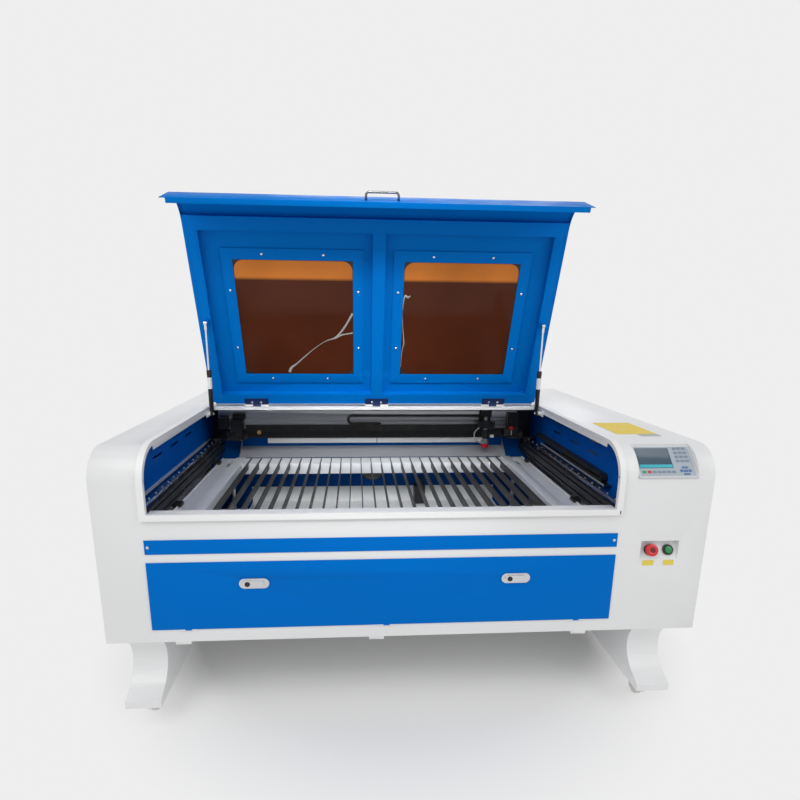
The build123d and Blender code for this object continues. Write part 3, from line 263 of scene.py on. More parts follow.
def grain_group() -> bpy.types.NodeTree:
    """Build the shared effect of drawn or ground metal: fine lines, light and dark streaks, and smudges."""
    tree, graph = new_group(
        "drawn_metal",
        {"Colour": (0.7, 0.7, 0.7), "Along X": 1.0, "Along Y": 1.0, "Along Z": 1.0, "Streak": 0.12,
         "Roughness": 0.3},
        SURFACE_OUTPUTS,
    )
    given = graph.add("NodeGroupInput")
    place = graph.add("ShaderNodeTexCoord").outputs["Object"]
    stretch = graph.add("ShaderNodeCombineXYZ")
    for index, label in enumerate(("Along X", "Along Y", "Along Z")):
        graph.link(given.outputs[label], stretch.inputs[index])
    lined = graph.add("ShaderNodeVectorMath", operation="MULTIPLY")
    graph.link(place, lined.inputs[0])
    graph.link(stretch.outputs[0], lined.inputs[1])
    fine = graph.noise(lined.outputs[0], 900.0, 2.0)
    coarse = graph.noise(lined.outputs[0], 120.0, 3.0)
    smudge = graph.span(graph.noise(place, 9.0, 5.0), (0.35, 0.7))
    streak = graph.math("MULTIPLY", graph.math("SUBTRACT", coarse, 0.5), given.outputs["Streak"])
    value = graph.math("ADD", graph.math("ADD", 1.0, streak), graph.math("MULTIPLY", smudge, -0.06))
    colour = graph.add("ShaderNodeHueSaturation", Color=given.outputs["Colour"], Value=value).outputs[0]
    rough = graph.math("ADD", given.outputs["Roughness"], graph.span(smudge, (0.0, 1.0), (-0.04, 0.1)))
    close_group(graph, colour, rough, fine)
    return tree


def moulding_group() -> bpy.types.NodeTree:
    """Build the shared effect of a moulded plastic or rubber skin: a fine leathery grain with worn gloss."""
    tree, graph = new_group(
        "moulded_skin",
        {"Colour": (0.1, 0.1, 0.1), "Grain": 300.0, "Wear": 0.2, "Roughness": 0.5},
        SURFACE_OUTPUTS,
    )
    given = graph.add("NodeGroupInput")
    place = graph.add("ShaderNodeTexCoord").outputs["Object"]
    cells = graph.add("ShaderNodeTexVoronoi", Vector=place, feature="SMOOTH_F1", Scale=given.outputs["Grain"])
    worn = graph.span(graph.noise(place, 14.0, 5.0), (0.45, 0.75))
    lift = graph.math("MULTIPLY", worn, given.outputs["Wear"])
    colour = graph.mix(lift, given.outputs["Colour"], (0.35, 0.34, 0.33))
    rough = graph.math("SUBTRACT", given.outputs["Roughness"], graph.math("MULTIPLY", lift, 0.3))
    close_group(graph, colour, rough, cells.outputs["Distance"])
    return tree


COATING = coating_group()
GRAIN = grain_group()
MOULDING = moulding_group()


def surface(name: str, tree: bpy.types.NodeTree, values: dict[str, object], bump: float, height: float,
            sockets: dict[str, object]) -> bpy.types.Material:
    """Make a material from one shared effect and its own constant socket values.

    Args:
        name: The material's name.
        tree: The node group that gives colour, roughness and height.
        values: The group's input values.
        bump: The strength of the Bump node.
        height: The height of the bump, in metres.
        sockets: Constant values for the Principled shader.

    Returns:
        The material.
    """
    material = bpy.data.materials.new(name)
    material.use_nodes = True
    graph = Graph(material.node_tree)
    effect = graph.add("ShaderNodeGroup")
    effect.node_tree = tree
    for label, value in values.items():
        effect.inputs[label].default_value = value if isinstance(value, float) else (*value, 1.0)
    shader = graph.add("ShaderNodeBsdfPrincipled")
    for label, value in sockets.items():
        shader.inputs[label].default_value = value
    graph.link(effect.outputs["Colour"], shader.inputs["Base Color"])
    graph.link(effect.outputs["Roughness"], shader.inputs["Roughness"])
    lift = graph.add("ShaderNodeBump", Height=effect.outputs["Height"], Strength=bump, Distance=height)
    graph.link(lift.outputs[0], shader.inputs["Normal"])
    target = graph.add("ShaderNodeOutputMaterial")
    graph.link(shader.outputs[0], target.inputs[0])
    return material


@dataclass(frozen=True)
class PaintedSheet:
    """Powder-coated sheet steel."""

    name: str
    colour: Colour
    roughness: float = 0.36
    mottle: float = 0.05
    dust: float = 0.12
    coat: float = 0.1
    shine: float = 0.4

    def build(self) -> bpy.types.Material:
        """Return the finish as a material."""
        values = {"Colour": self.colour, "Mottle": self.mottle, "Dust": self.dust,
                  "Roughness": self.roughness, "Peel": 1.0}
        sockets = {"Coat Weight": self.coat, "Coat Roughness": 0.18, "IOR": 1.5,
                   "Specular IOR Level": self.shine}
        return surface(self.name, COATING, values, 0.12, 0.0004, sockets)


@dataclass(frozen=True)
class DrawnMetal:
    """Bare or anodised metal with its lines along one axis."""

    name: str
    colour: Colour
    along: Axis
    roughness: float = 0.3
    streak: float = 0.14
    metallic: float = 1.0

    def build(self) -> bpy.types.Material:
        """Return the finish as a material."""
        values = {"Colour": self.colour, "Streak": self.streak, "Roughness": self.roughness}
        for axis in Axis:
            values[f"Along {axis.name}"] = 0.03 if axis is self.along else 1.0
        sockets = {"Metallic": self.metallic, "IOR": 1.5}
        return surface(self.name, GRAIN, values, 0.1, 0.0003, sockets)


@dataclass(frozen=True)
class MouldedPlastic:
    """Moulded plastic or rubber."""

    name: str
    colour: Colour
    roughness: float = 0.5
    grain: float = 500.0
    wear: float = 0.05
    coat: float = 0.0

    def build(self) -> bpy.types.Material:
        """Return the finish as a material."""
        values = {"Colour": self.colour, "Grain": self.grain, "Wear": self.wear, "Roughness": self.roughness}
        sockets = {"Coat Weight": self.coat, "Coat Roughness": 0.08, "IOR": 1.46}
        return surface(self.name, MOULDING, values, 0.08, 0.0002, sockets)


@dataclass(frozen=True)
class TintedPane:
    """Amber acrylic, which looks dark against the lid, with a painted highlight, a lighter orange glow, along
    its upper edge.

    Its edge is the pair of heights, in metres, between which the painted highlight comes up.
    """

    name: str
    colour: Colour
    glow: Colour
    edge: Span

    def build(self) -> bpy.types.Material:
        """Return the finish as a material."""
        material = bpy.data.materials.new(self.name)
        material.use_nodes = True
        graph = Graph(material.node_tree)
        place = graph.add("ShaderNodeTexCoord").outputs["Object"]
        height = graph.add("ShaderNodeSeparateXYZ", Vector=place).outputs["Z"]
        # Painted highlight: above the edge heights the dark amber turns to the lighter glow colour.
        lit = graph.span(height, self.edge)
        cloud = graph.span(graph.noise(place, 3.0, 4.0), (0.3, 0.7), (0.8, 1.15))
        tone = graph.add("ShaderNodeHueSaturation", Color=graph.mix(lit, self.colour, self.glow), Value=cloud)
        smear = graph.span(graph.noise(place, 11.0, 6.0), (0.4, 0.75), (0.08, 0.22))
        shader = graph.add("ShaderNodeBsdfPrincipled", Base_Color=tone.outputs[0], Roughness=smear)
        shader.inputs["Specular IOR Level"].default_value = 0.1
        shader.inputs["Coat Weight"].default_value = 0.06
        graph.link(shader.outputs[0], graph.add("ShaderNodeOutputMaterial").inputs[0])
        return material


class Finishes:
    """Every finish on the machine, built once, with the slot that each is taken from."""

    def __init__(self) -> None:
        """Build the materials, and keep each with its slot under its name."""
        sheet = {
            "white_paint": [
                PaintedSheet("white_sheet", (0.76, 0.765, 0.77), dust=0.1),
                PaintedSheet("lip_white", (0.8, 0.8, 0.8), dust=0.04),
                PaintedSheet("stand_sheet", (0.79, 0.795, 0.8), dust=0.18),
                # table_white and tray_sheet are lighter copies of the white paint: painted light that offsets
                # the shade inside the chamber.
                PaintedSheet("table_white", (0.8, 0.82, 0.85), dust=0.15),
                PaintedSheet("tray_sheet", (0.84, 0.86, 0.86), dust=0.3),
                PaintedSheet("lamp_white", (0.9, 0.9, 0.9), dust=0.0),
                PaintedSheet("hood_grey", (0.3, 0.31, 0.34), dust=0.3),
                PaintedSheet("grey_sheet", (0.36, 0.37, 0.38), roughness=0.45, dust=0.3),
            ],
            "blue_paint": [
                # blue_sheet and lid_blue are one blue paint in two shades: the lid's copy is painted lighter
                # and the door's darker, standing in for how light falls on each.
                PaintedSheet("blue_sheet", (0.0, 0.145, 0.54), mottle=0.04, dust=0.0, coat=0.0, shine=0.03),
                PaintedSheet("lid_blue", (0.0, 0.16, 0.56), mottle=0.06, dust=0.0, coat=0.0, shine=0.03),
            ],
            "dark_blue_paint": [
                PaintedSheet("lining_blue", (0.0, 0.12, 0.56), mottle=0.1, dust=0.02, coat=0.0, shine=0.05),
                PaintedSheet("rear_blue", (0.0, 0.06, 0.26), mottle=0.1, dust=0.04, coat=0.0, shine=0.05),
                PaintedSheet("dark_blue_sheet", (0.003, 0.018, 0.09), roughness=0.42, dust=0.05),
            ],
            "black_paint": [
                PaintedSheet("black_sheet", (0.012, 0.012, 0.013), roughness=0.45, dust=0.2),
            ],
            "yellow_plastic": [
                PaintedSheet("yellow_plate", (0.74, 0.55, 0.025), 0.45, mottle=0.08, dust=0.2, coat=0.0),
                PaintedSheet("small_plate", (0.74, 0.6, 0.08), 0.4, dust=0.1, coat=0.0),
            ],
        }
        metal = {
            "aluminium": [DrawnMetal("extrusion", (0.46, 0.47, 0.48), Axis.X, roughness=0.36)],
            "black_aluminium": [
                DrawnMetal("black_extrusion", (0.045, 0.045, 0.05), Axis.Y, roughness=0.4, metallic=0.6),
            ],
            "strip_aluminium": [
                DrawnMetal("strip_metal", (0.07, 0.072, 0.078), Axis.Y, 0.5, streak=0.5, metallic=0.3),
            ],
            "rail_steel": [DrawnMetal("rail_steel", (0.5, 0.5, 0.52), Axis.Y, roughness=0.22)],
            "zinc_steel": [
                DrawnMetal("screw_steel", (0.55, 0.55, 0.56), Axis.Z, roughness=0.25),
                DrawnMetal("zinc", (0.6, 0.6, 0.6), Axis.Z, roughness=0.33),
            ],
            "chrome": [
                DrawnMetal("chrome", (0.78, 0.79, 0.8), Axis.X, roughness=0.12, streak=0.04),
                DrawnMetal("dark_chrome", (0.2, 0.21, 0.22), Axis.X, roughness=0.2, streak=0.04),
                DrawnMetal("lock_metal", (0.66, 0.67, 0.69), Axis.X, roughness=0.3, streak=0.08),
            ],
            "brass": [
                DrawnMetal("brass", (0.75, 0.5, 0.2), Axis.Z, roughness=0.25),
                DrawnMetal("dark_brass", (0.24, 0.17, 0.1), Axis.Z, roughness=0.35),
            ],
        }
        plastic = {
            "black_plastic": [
                MouldedPlastic("black_plastic", (0.012, 0.012, 0.012), roughness=0.45),
                MouldedPlastic("chain_rib", (0.035, 0.035, 0.037), roughness=0.4),
            ],
            "red_plastic": [
                MouldedPlastic("red_plastic", (0.6, 0.008, 0.012), roughness=0.22, coat=0.4, wear=0.02),
                MouldedPlastic("stop_mark", (0.12, 0.004, 0.006), roughness=0.4),
                MouldedPlastic("key_red", (0.5, 0.03, 0.02), roughness=0.4),
            ],
            "green_plastic": [
                MouldedPlastic("green_plastic", (0.004, 0.24, 0.06), roughness=0.25, coat=0.4, wear=0.02),
                MouldedPlastic("key_green", (0.02, 0.3, 0.09), roughness=0.4),
            ],
            "pale_plastic": [
                MouldedPlastic("pale_nylon", (0.62, 0.61, 0.57), roughness=0.4, wear=0.2),
                MouldedPlastic("white_label", (0.72, 0.72, 0.72), roughness=0.4),
                MouldedPlastic("torn_film", (0.36, 0.35, 0.33), roughness=0.3),
                MouldedPlastic("air_tube", (0.42, 0.43, 0.45), roughness=0.25, coat=0.3),
            ],
            "grey_plastic": [
                MouldedPlastic("panel_rim", (0.6, 0.62, 0.64), roughness=0.35),
                MouldedPlastic("panel_grey", (0.36, 0.42, 0.48), roughness=0.35),
                MouldedPlastic("key_grey", (0.2, 0.25, 0.33), roughness=0.4),
                MouldedPlastic("key_blue", (0.08, 0.16, 0.36), roughness=0.4),
            ],
            "screen_glass": [
                MouldedPlastic("screen_face", (0.03, 0.07, 0.11), roughness=0.15, coat=0.3),
                MouldedPlastic("screen_lit", (0.02, 0.4, 0.5), roughness=0.3),
            ],
            "clear_glass": [MouldedPlastic("tube_glass", (0.6, 0.66, 0.68), roughness=0.08, coat=0.8)],
            "amber_acrylic": [
                # The glow colour and the heights after it paint a highlight along the panes' upper edge.
                TintedPane("amber_sheet", (0.075, 0.019, 0.008), (0.62, 0.19, 0.03), (1.418, 1.43)),
            ],
        }
        kinds = {**sheet, **metal, **plastic}
        self.slots = {finish.name: slot for slot, finishes in kinds.items() for finish in finishes}
        self.materials = {finish.name: finish.build() for finishes in kinds.values() for finish in finishes}

    def __getitem__(self, name: str) -> bpy.types.Material:
        """Return the material of that name."""
        return self.materials[name]


FINISHES = Finishes()

NODE_FINISHES: dict[str, tuple[str, ...]] = {
    "white_sheet": ("tube_shelf",),
    "dark_blue_sheet": ("lid_hinge_leaves",),
    "lining_blue": ("side_linings",),
    "black_sheet": ("gantry_mirror_mount", "head_carriage", "lift_motor"),
    "extrusion": ("focus_tube",),
    "strip_metal": ("knife_strips",),
    "rail_steel": ("y_rails", "lift_chain"),
    "screw_steel": ("front_left_screw", "front_right_screw", "rear_left_screw", "rear_right_screw"),
    "zinc": ("front_left_caster_fork", "front_right_caster_fork", "rear_left_caster_fork",
             "rear_right_caster_fork"),
    "chrome": ("left_strut_rod", "right_strut_rod"),
    "black_plastic": ("belt_guard", "exhaust_duct"),
    "tube_glass": ("laser_tube",),
}


def dress_nodes() -> None:
    """Give every carried-over node that stays in view its finish."""
    for finish, nodes in NODE_FINISHES.items():
        for node in nodes:
            item = frame["nodes"][node]
            if not item.material_slots:
                item.data.materials.append(FINISHES[finish])
            for place in item.material_slots:
                place.material = FINISHES[finish]


HINGE = Vector(next(joint["pos_m"] for joint in frame["joints"] if joint["name"] == "lid_hinge"))
LID_ANGLE = math.radians(-70)
LID_TURN = Matrix.Translation(HINGE) @ Matrix.Rotation(LID_ANGLE, 4, "X") @ Matrix.Translation(-HINGE)


def clear_selection() -> None:
    """Deselect everything, so that an operator acts on the next piece alone."""
    bpy.ops.object.select_all(action="DESELECT")


def pick_object(item: bpy.types.Object) -> None:
    """Make one object the only selected and the active one."""
    clear_selection()
    item.select_set(True)
    bpy.context.view_layer.objects.active = item


def settle(item: bpy.types.Object, name: str) -> bpy.types.Object:
    """Name an object and move its place, turn and scale into its mesh."""
    pick_object(item)
    bpy.ops.object.transform_apply(location=True, rotation=True, scale=True)
    item.name = name
    return item


def block(name: str, low: Sequence[float], high: Sequence[float]) -> bpy.types.Object:
    """Add a block between two corners.

    Args:
        name: The block's name.
        low: One corner, in millimetres.
        high: The corner across from it.

    Returns:
        The block.
    """
    clear_selection()
    centre = [(first + last) / 2 * MM for first, last in zip(low, high)]
    bpy.ops.mesh.primitive_cube_add(size=1.0, location=centre)
    item = bpy.context.active_object
    item.scale = [(last - first) * MM for first, last in zip(low, high)]
    return settle(item, name)


def drum(name: str, radius: float, start: Sequence[float], end: Sequence[float],
         sides: int = 32) -> bpy.types.Object:
    """Add a cylinder between two points.

    Args:
        name: The cylinder's name.
        radius: Its radius, in millimetres.
        start: The middle of its first end, in millimetres.
        end: The middle of its other end.
        sides: How many sides it has.

    Returns:
        The cylinder.
    """
    clear_selection()
    first, last = Vector(start) * MM, Vector(end) * MM
    turn = (last - first).to_track_quat("Z", "Y").to_euler()
    bpy.ops.mesh.primitive_cylinder_add(
        vertices=sides,
        radius=radius * MM,
        depth=(last - first).length,
        location=(first + last) / 2,
        rotation=turn,
    )
    return settle(bpy.context.active_object, name)


def tube(name: str, points: Sequence[Sequence[float]], radius: float,
         swell: Sequence[float] = ()) -> bpy.types.Object:
    """Sweep a round tube along a smooth line.

    Args:
        name: The piece's name.
        points: The line's control points, in millimetres.
        radius: The tube's radius, in millimetres.
        swell: A factor on the radius at each point, or nothing for an even tube.

    Returns:
        The tube as a mesh object.
    """
    curve = bpy.data.curves.new(name, "CURVE")
    curve.dimensions = "3D"
    curve.bevel_depth = radius * MM
    curve.bevel_resolution = 3
    curve.use_fill_caps = True
    spline = curve.splines.new("NURBS")
    spline.points.add(len(points) - 1)
    for index, point in enumerate(points):
        spline.points[index].co = (*(Vector(point) * MM), 1.0)
        spline.points[index].radius = swell[index] if swell else 1.0
    spline.order_u = 3
    spline.use_endpoint_u = True
    item = bpy.data.objects.new(name, curve)
    bpy.context.scene.collection.objects.link(item)
    pick_object(item)
    bpy.ops.object.convert(target="MESH")
    return bpy.context.active_object


def copies(item: bpy.types.Object, offsets: Iterable[Sequence[float]]) -> list[bpy.types.Object]:
    """Copy a piece to other places, each copy with its own mesh, and keep the first one.

    Args:
        item: The piece at its first place.
        offsets: The way from it to each further place, in millimetres.

    Returns:
        The piece and its copies.
    """
    made = [item]
    for offset in offsets:
        twin = item.copy()
        twin.data = item.data.copy()
        bpy.context.scene.collection.objects.link(twin)
        twin.location = Vector(offset) * MM
        made.append(settle(twin, item.name))
    return made


def joined(items: Sequence[bpy.types.Object], name: str) -> bpy.types.Object:
    """Join several meshes into one piece.

    Args:
        items: The meshes.
        name: The piece's name.

    Returns:
        The piece.
    """
    pick_object(items[0])
    for item in items[1:]:
        item.select_set(True)
    bpy.ops.object.join()
    items[0].name = name
    return items[0]


def turned(item: bpy.types.Object, matrix: Matrix) -> bpy.types.Object:
    """Carry a piece to its place with a matrix, and return it settled there."""
    item.matrix_world = matrix @ item.matrix_world
    return settle(item, item.name)


class Shaping:
    """A piece in edit mode, with the modelling operators on the faces or edges that are picked."""

    def __init__(self, item: bpy.types.Object) -> None:
        """Keep the piece.

        Args:
            item: The mesh object to shape.
        """
        self.item = item

    def __enter__(self) -> "Shaping":
        """Enter edit mode with everything picked."""
        pick_object(self.item)
        bpy.ops.object.mode_set(mode="EDIT")
        bpy.ops.mesh.select_all(action="SELECT")
        return self

    def __exit__(self, *_: object) -> None:
        """Leave edit mode."""
        bpy.ops.object.mode_set(mode="OBJECT")

    def faces(self, test: Test) -> "Shaping":
        """Pick faces.

        Args:
            test: What a face's centre, in millimetres, and its normal have to pass.

        Returns:
            The shaping itself, as every step does.
        """
        bpy.ops.mesh.select_mode(type="FACE")
        bpy.ops.mesh.select_all(action="DESELECT")
        mesh = bmesh.from_edit_mesh(self.item.data)
        for face in mesh.faces:
            face.select_set(test(face.calc_center_median() / MM, face.normal))
        bmesh.update_edit_mesh(self.item.data)
        return self

    def edges(self, test: Test) -> "Shaping":
        """Pick edges.

        Args:
            test: What an edge's middle, in millimetres, and its direction have to pass.

        Returns:
            The shaping itself.
        """
        bpy.ops.mesh.select_mode(type="EDGE")
        bpy.ops.mesh.select_all(action="DESELECT")
        mesh = bmesh.from_edit_mesh(self.item.data)
        for edge in mesh.edges:
            first, last = (vertex.co for vertex in edge.verts)
            edge.select_set(test((first + last) / 2 / MM, (last - first).normalized()))
        bmesh.update_edit_mesh(self.item.data)
        return self

    def side(self, side: Side) -> "Shaping":
        """Pick the faces that look to one side."""
        way = Vector(side.value)
        return self.faces(lambda centre, out: out.dot(way) > FACING)

    def ends(self, axis: Axis) -> "Shaping":
        """Pick the faces at both ends of an axis."""
        return self.faces(lambda centre, out: abs(out[axis.value]) > FACING)

    def edges_along(self, axis: Axis) -> "Shaping":
        """Pick the edges that run along an axis."""
        return self.edges(lambda centre, way: abs(way[axis.value]) > FACING)

    def inset(self, thickness: float, depth: float = 0.0, single: bool = False) -> "Shaping":
        """Inset the picked faces together or singly, and sink or raise them."""
        bpy.ops.mesh.inset(thickness=thickness * MM, depth=depth * MM, use_individual=single)
        return self

    def extrude(self, x: float = 0.0, y: float = 0.0, z: float = 0.0) -> "Shaping":
        """Extrude the picked faces along a way in millimetres."""
        bpy.ops.mesh.extrude_region_move(TRANSFORM_OT_translate={"value": (x * MM, y * MM, z * MM)})
        return self

    def grow(self, factors: Sequence[float], about: Sequence[float]) -> "Shaping":
        """Scale what is picked about a point in millimetres."""
        bpy.ops.transform.resize(value=tuple(factors), center_override=tuple(Vector(about) * MM))
        return self

    def bevel(self, offset: float, segments: int = 4, corners: bool = False) -> "Shaping":
        """Round the picked edges, or the picked corners of a flat face."""
        affect = "VERTICES" if corners else "EDGES"
        bpy.ops.mesh.bevel(offset=offset * MM, segments=segments, affect=affect)
        return self

    def delete_faces(self) -> "Shaping":
        """Delete the picked faces."""
        bpy.ops.mesh.delete(type="FACE")
        return self

    def merge(self) -> "Shaping":
        """Merge doubled corners."""
        bpy.ops.mesh.remove_doubles(threshold=0.02 * MM)
        return self


def dished(item: bpy.types.Object, side: Side, *steps: Span) -> bpy.types.Object:
    """Inset one side of a piece step by step.

    Args:
        item: The piece.
        side: The side that is shaped.
        *steps: Each step's inset and how far it is raised, in millimetres.

    Returns:
        The shaped piece.
    """
    with Shaping(item) as shape:
        shape.side(side)
        for thickness, depth in steps:
            shape.inset(thickness, depth)
    return item


def both_dished(item: bpy.types.Object, axis: Axis, *steps: Span) -> bpy.types.Object:
    """Inset the faces at both ends of a piece step by step, each face by itself.

    Args:
        item: The piece.
        axis: The axis whose ends are shaped.
        *steps: Each step's inset and how far it is raised, in millimetres.

    Returns:
        The shaped piece.
    """
    with Shaping(item) as shape:
        shape.ends(axis)
        for thickness, depth in steps:
            shape.inset(thickness, depth, single=True)
    return item


def plate(name: str, low: Sequence[float], high: Sequence[float], corner: Corner, side: Side,
          *steps: Span) -> bpy.types.Object:
    """Model a block with four rounded corners and one shaped side.

    Args:
        name: The piece's name.
        low: Its lowest corner, in millimetres.
        high: Its highest corner.
        corner: The radius of its corners, in millimetres, and their steps.
        side: The side that is shaped, to which the rounded edges stand square.
        *steps: Each step's inset and how far it is raised, in millimetres.

    Returns:
        The plate.
    """
    item = block(name, low, high)
    with Shaping(item) as shape:
        shape.edges_along(side.axis).bevel(*corner)
    return dished(item, side, *steps)


def thickened(item: bpy.types.Object, wall: float = 0.3) -> bpy.types.Object:
    """Give an open sheet or sleeve its wall, in millimetres, and return it."""
    solid = item.modifiers.new("wall", "SOLIDIFY")
    solid.thickness = wall * MM
    pick_object(item)
    bpy.ops.object.modifier_apply(modifier=solid.name)
    return item


def finish_piece(item: bpy.types.Object, finish: str, body: str, bevel: float = 0.6, segments: int = 2,
                 angle: float = 38.0) -> bpy.types.Object:
    """Round a piece's sharp edges, smooth it, dress it and set it on its body.

    Args:
        item: The modelled piece.
        finish: The name of its finish.
        body: The body that it moves with.
        bevel: The rounding's width in millimetres, or zero for none.
        segments: The rounding's steps.
        angle: The sharpest turn, in degrees, that is left smooth.

    Returns:
        The finished piece.
    """
    pick_object(item)
    bpy.ops.object.shade_smooth_by_angle(angle=math.radians(angle))
    if bevel:
        rounding = item.modifiers.new("rounding", "BEVEL")
        rounding.width = bevel * MM
        rounding.segments = segments
        rounding.limit_method = "ANGLE"
        rounding.angle_limit = math.radians(angle)
        rounding.harden_normals = True
        bpy.ops.object.modifier_apply(modifier=rounding.name)
    item.data.materials.clear()
    item.data.materials.append(FINISHES[finish])
    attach(item, body)
    LOG.info("%s: %d faces on %s", item.name, len(item.data.polygons), body)
    return item


def cad_copy(node: str, name: str) -> bpy.types.Object:
    """Copy a carried-over node's mesh, with its loose triangles merged.

    Args:
        node: The node's name.
        name: The copy's name.

    Returns:
        The copy.
    """
    source = frame["nodes"][node]
    item = bpy.data.objects.new(name, source.data.copy())
    bpy.context.scene.collection.objects.link(item)
    with Shaping(item) as shape:
        shape.merge()
    return item


def softened(node: str, finish: str, body: str, bevel: float = 0.8) -> bpy.types.Object:
    """Show a carried-over node as a copy with its folded edges rounded.

    Args:
        node: The node's name.
        finish: The name of its finish.
        body: The body that it moves with.
        bevel: The rounding's width, in millimetres.

    Returns:
        The finished copy, which stands for the node.
    """
    item = finish_piece(cad_copy(node, node + "_skin"), finish, body, bevel)
    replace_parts(item, node)
    return item


def split_solids(node: str, finishes: dict[str, Test], body: str, bevel: float = 0.6) -> None:
    """Show a node of several solids as one piece for each finish.

    Args:
        node: The node's name.
        finishes: For each finish, a test on a solid's lowest and highest corners, in millimetres.
        body: The body that the node moves with.
        bevel: The rounding's width, in millimetres.
    """
    item = cad_copy(node, node + "_part")
    pick_object(item)
    bpy.ops.mesh.separate(type="LOOSE")
    parts = list(bpy.context.selected_objects)
    for finish, test in finishes.items():
        chosen = []
        for part in parts:
            corners = [vertex.co for vertex in part.data.vertices]
            low, high = (Vector([pick(axis) for axis in zip(*corners)]) / MM for pick in (min, max))
            if test(low, high):
                chosen.append(part)
        parts = [part for part in parts if part not in chosen]
        whole = joined(chosen, f"{node}_{finish}")
        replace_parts(finish_piece(whole, finish, body, bevel), node)


def pan_screw(place: Sequence[float], normal: Sequence[float], radius: float = 4.2) -> bpy.types.Object:
    """Model one pan-head screw with a socket, seated on a face.

    Args:
        place: The middle of the seat, in millimetres.
        normal: The way that the head looks.
        radius: The head's radius, in millimetres.

    Returns:
        The screw head.
    """
    item = drum("screw_head", radius, ORIGIN, (0, 0, radius * 0.45), 16)
    with Shaping(item) as shape:
        shape.side(Side.TOP).extrude(z=radius * 0.22).grow((0.72, 0.72, 1.0), ORIGIN)
        shape.inset(radius * 0.28).extrude(z=-radius * 0.3)
    turn = Vector(normal).to_track_quat("Z", "Y").to_matrix().to_4x4()
    return turned(item, Matrix.Translation(Vector(place) * MM) @ turn)


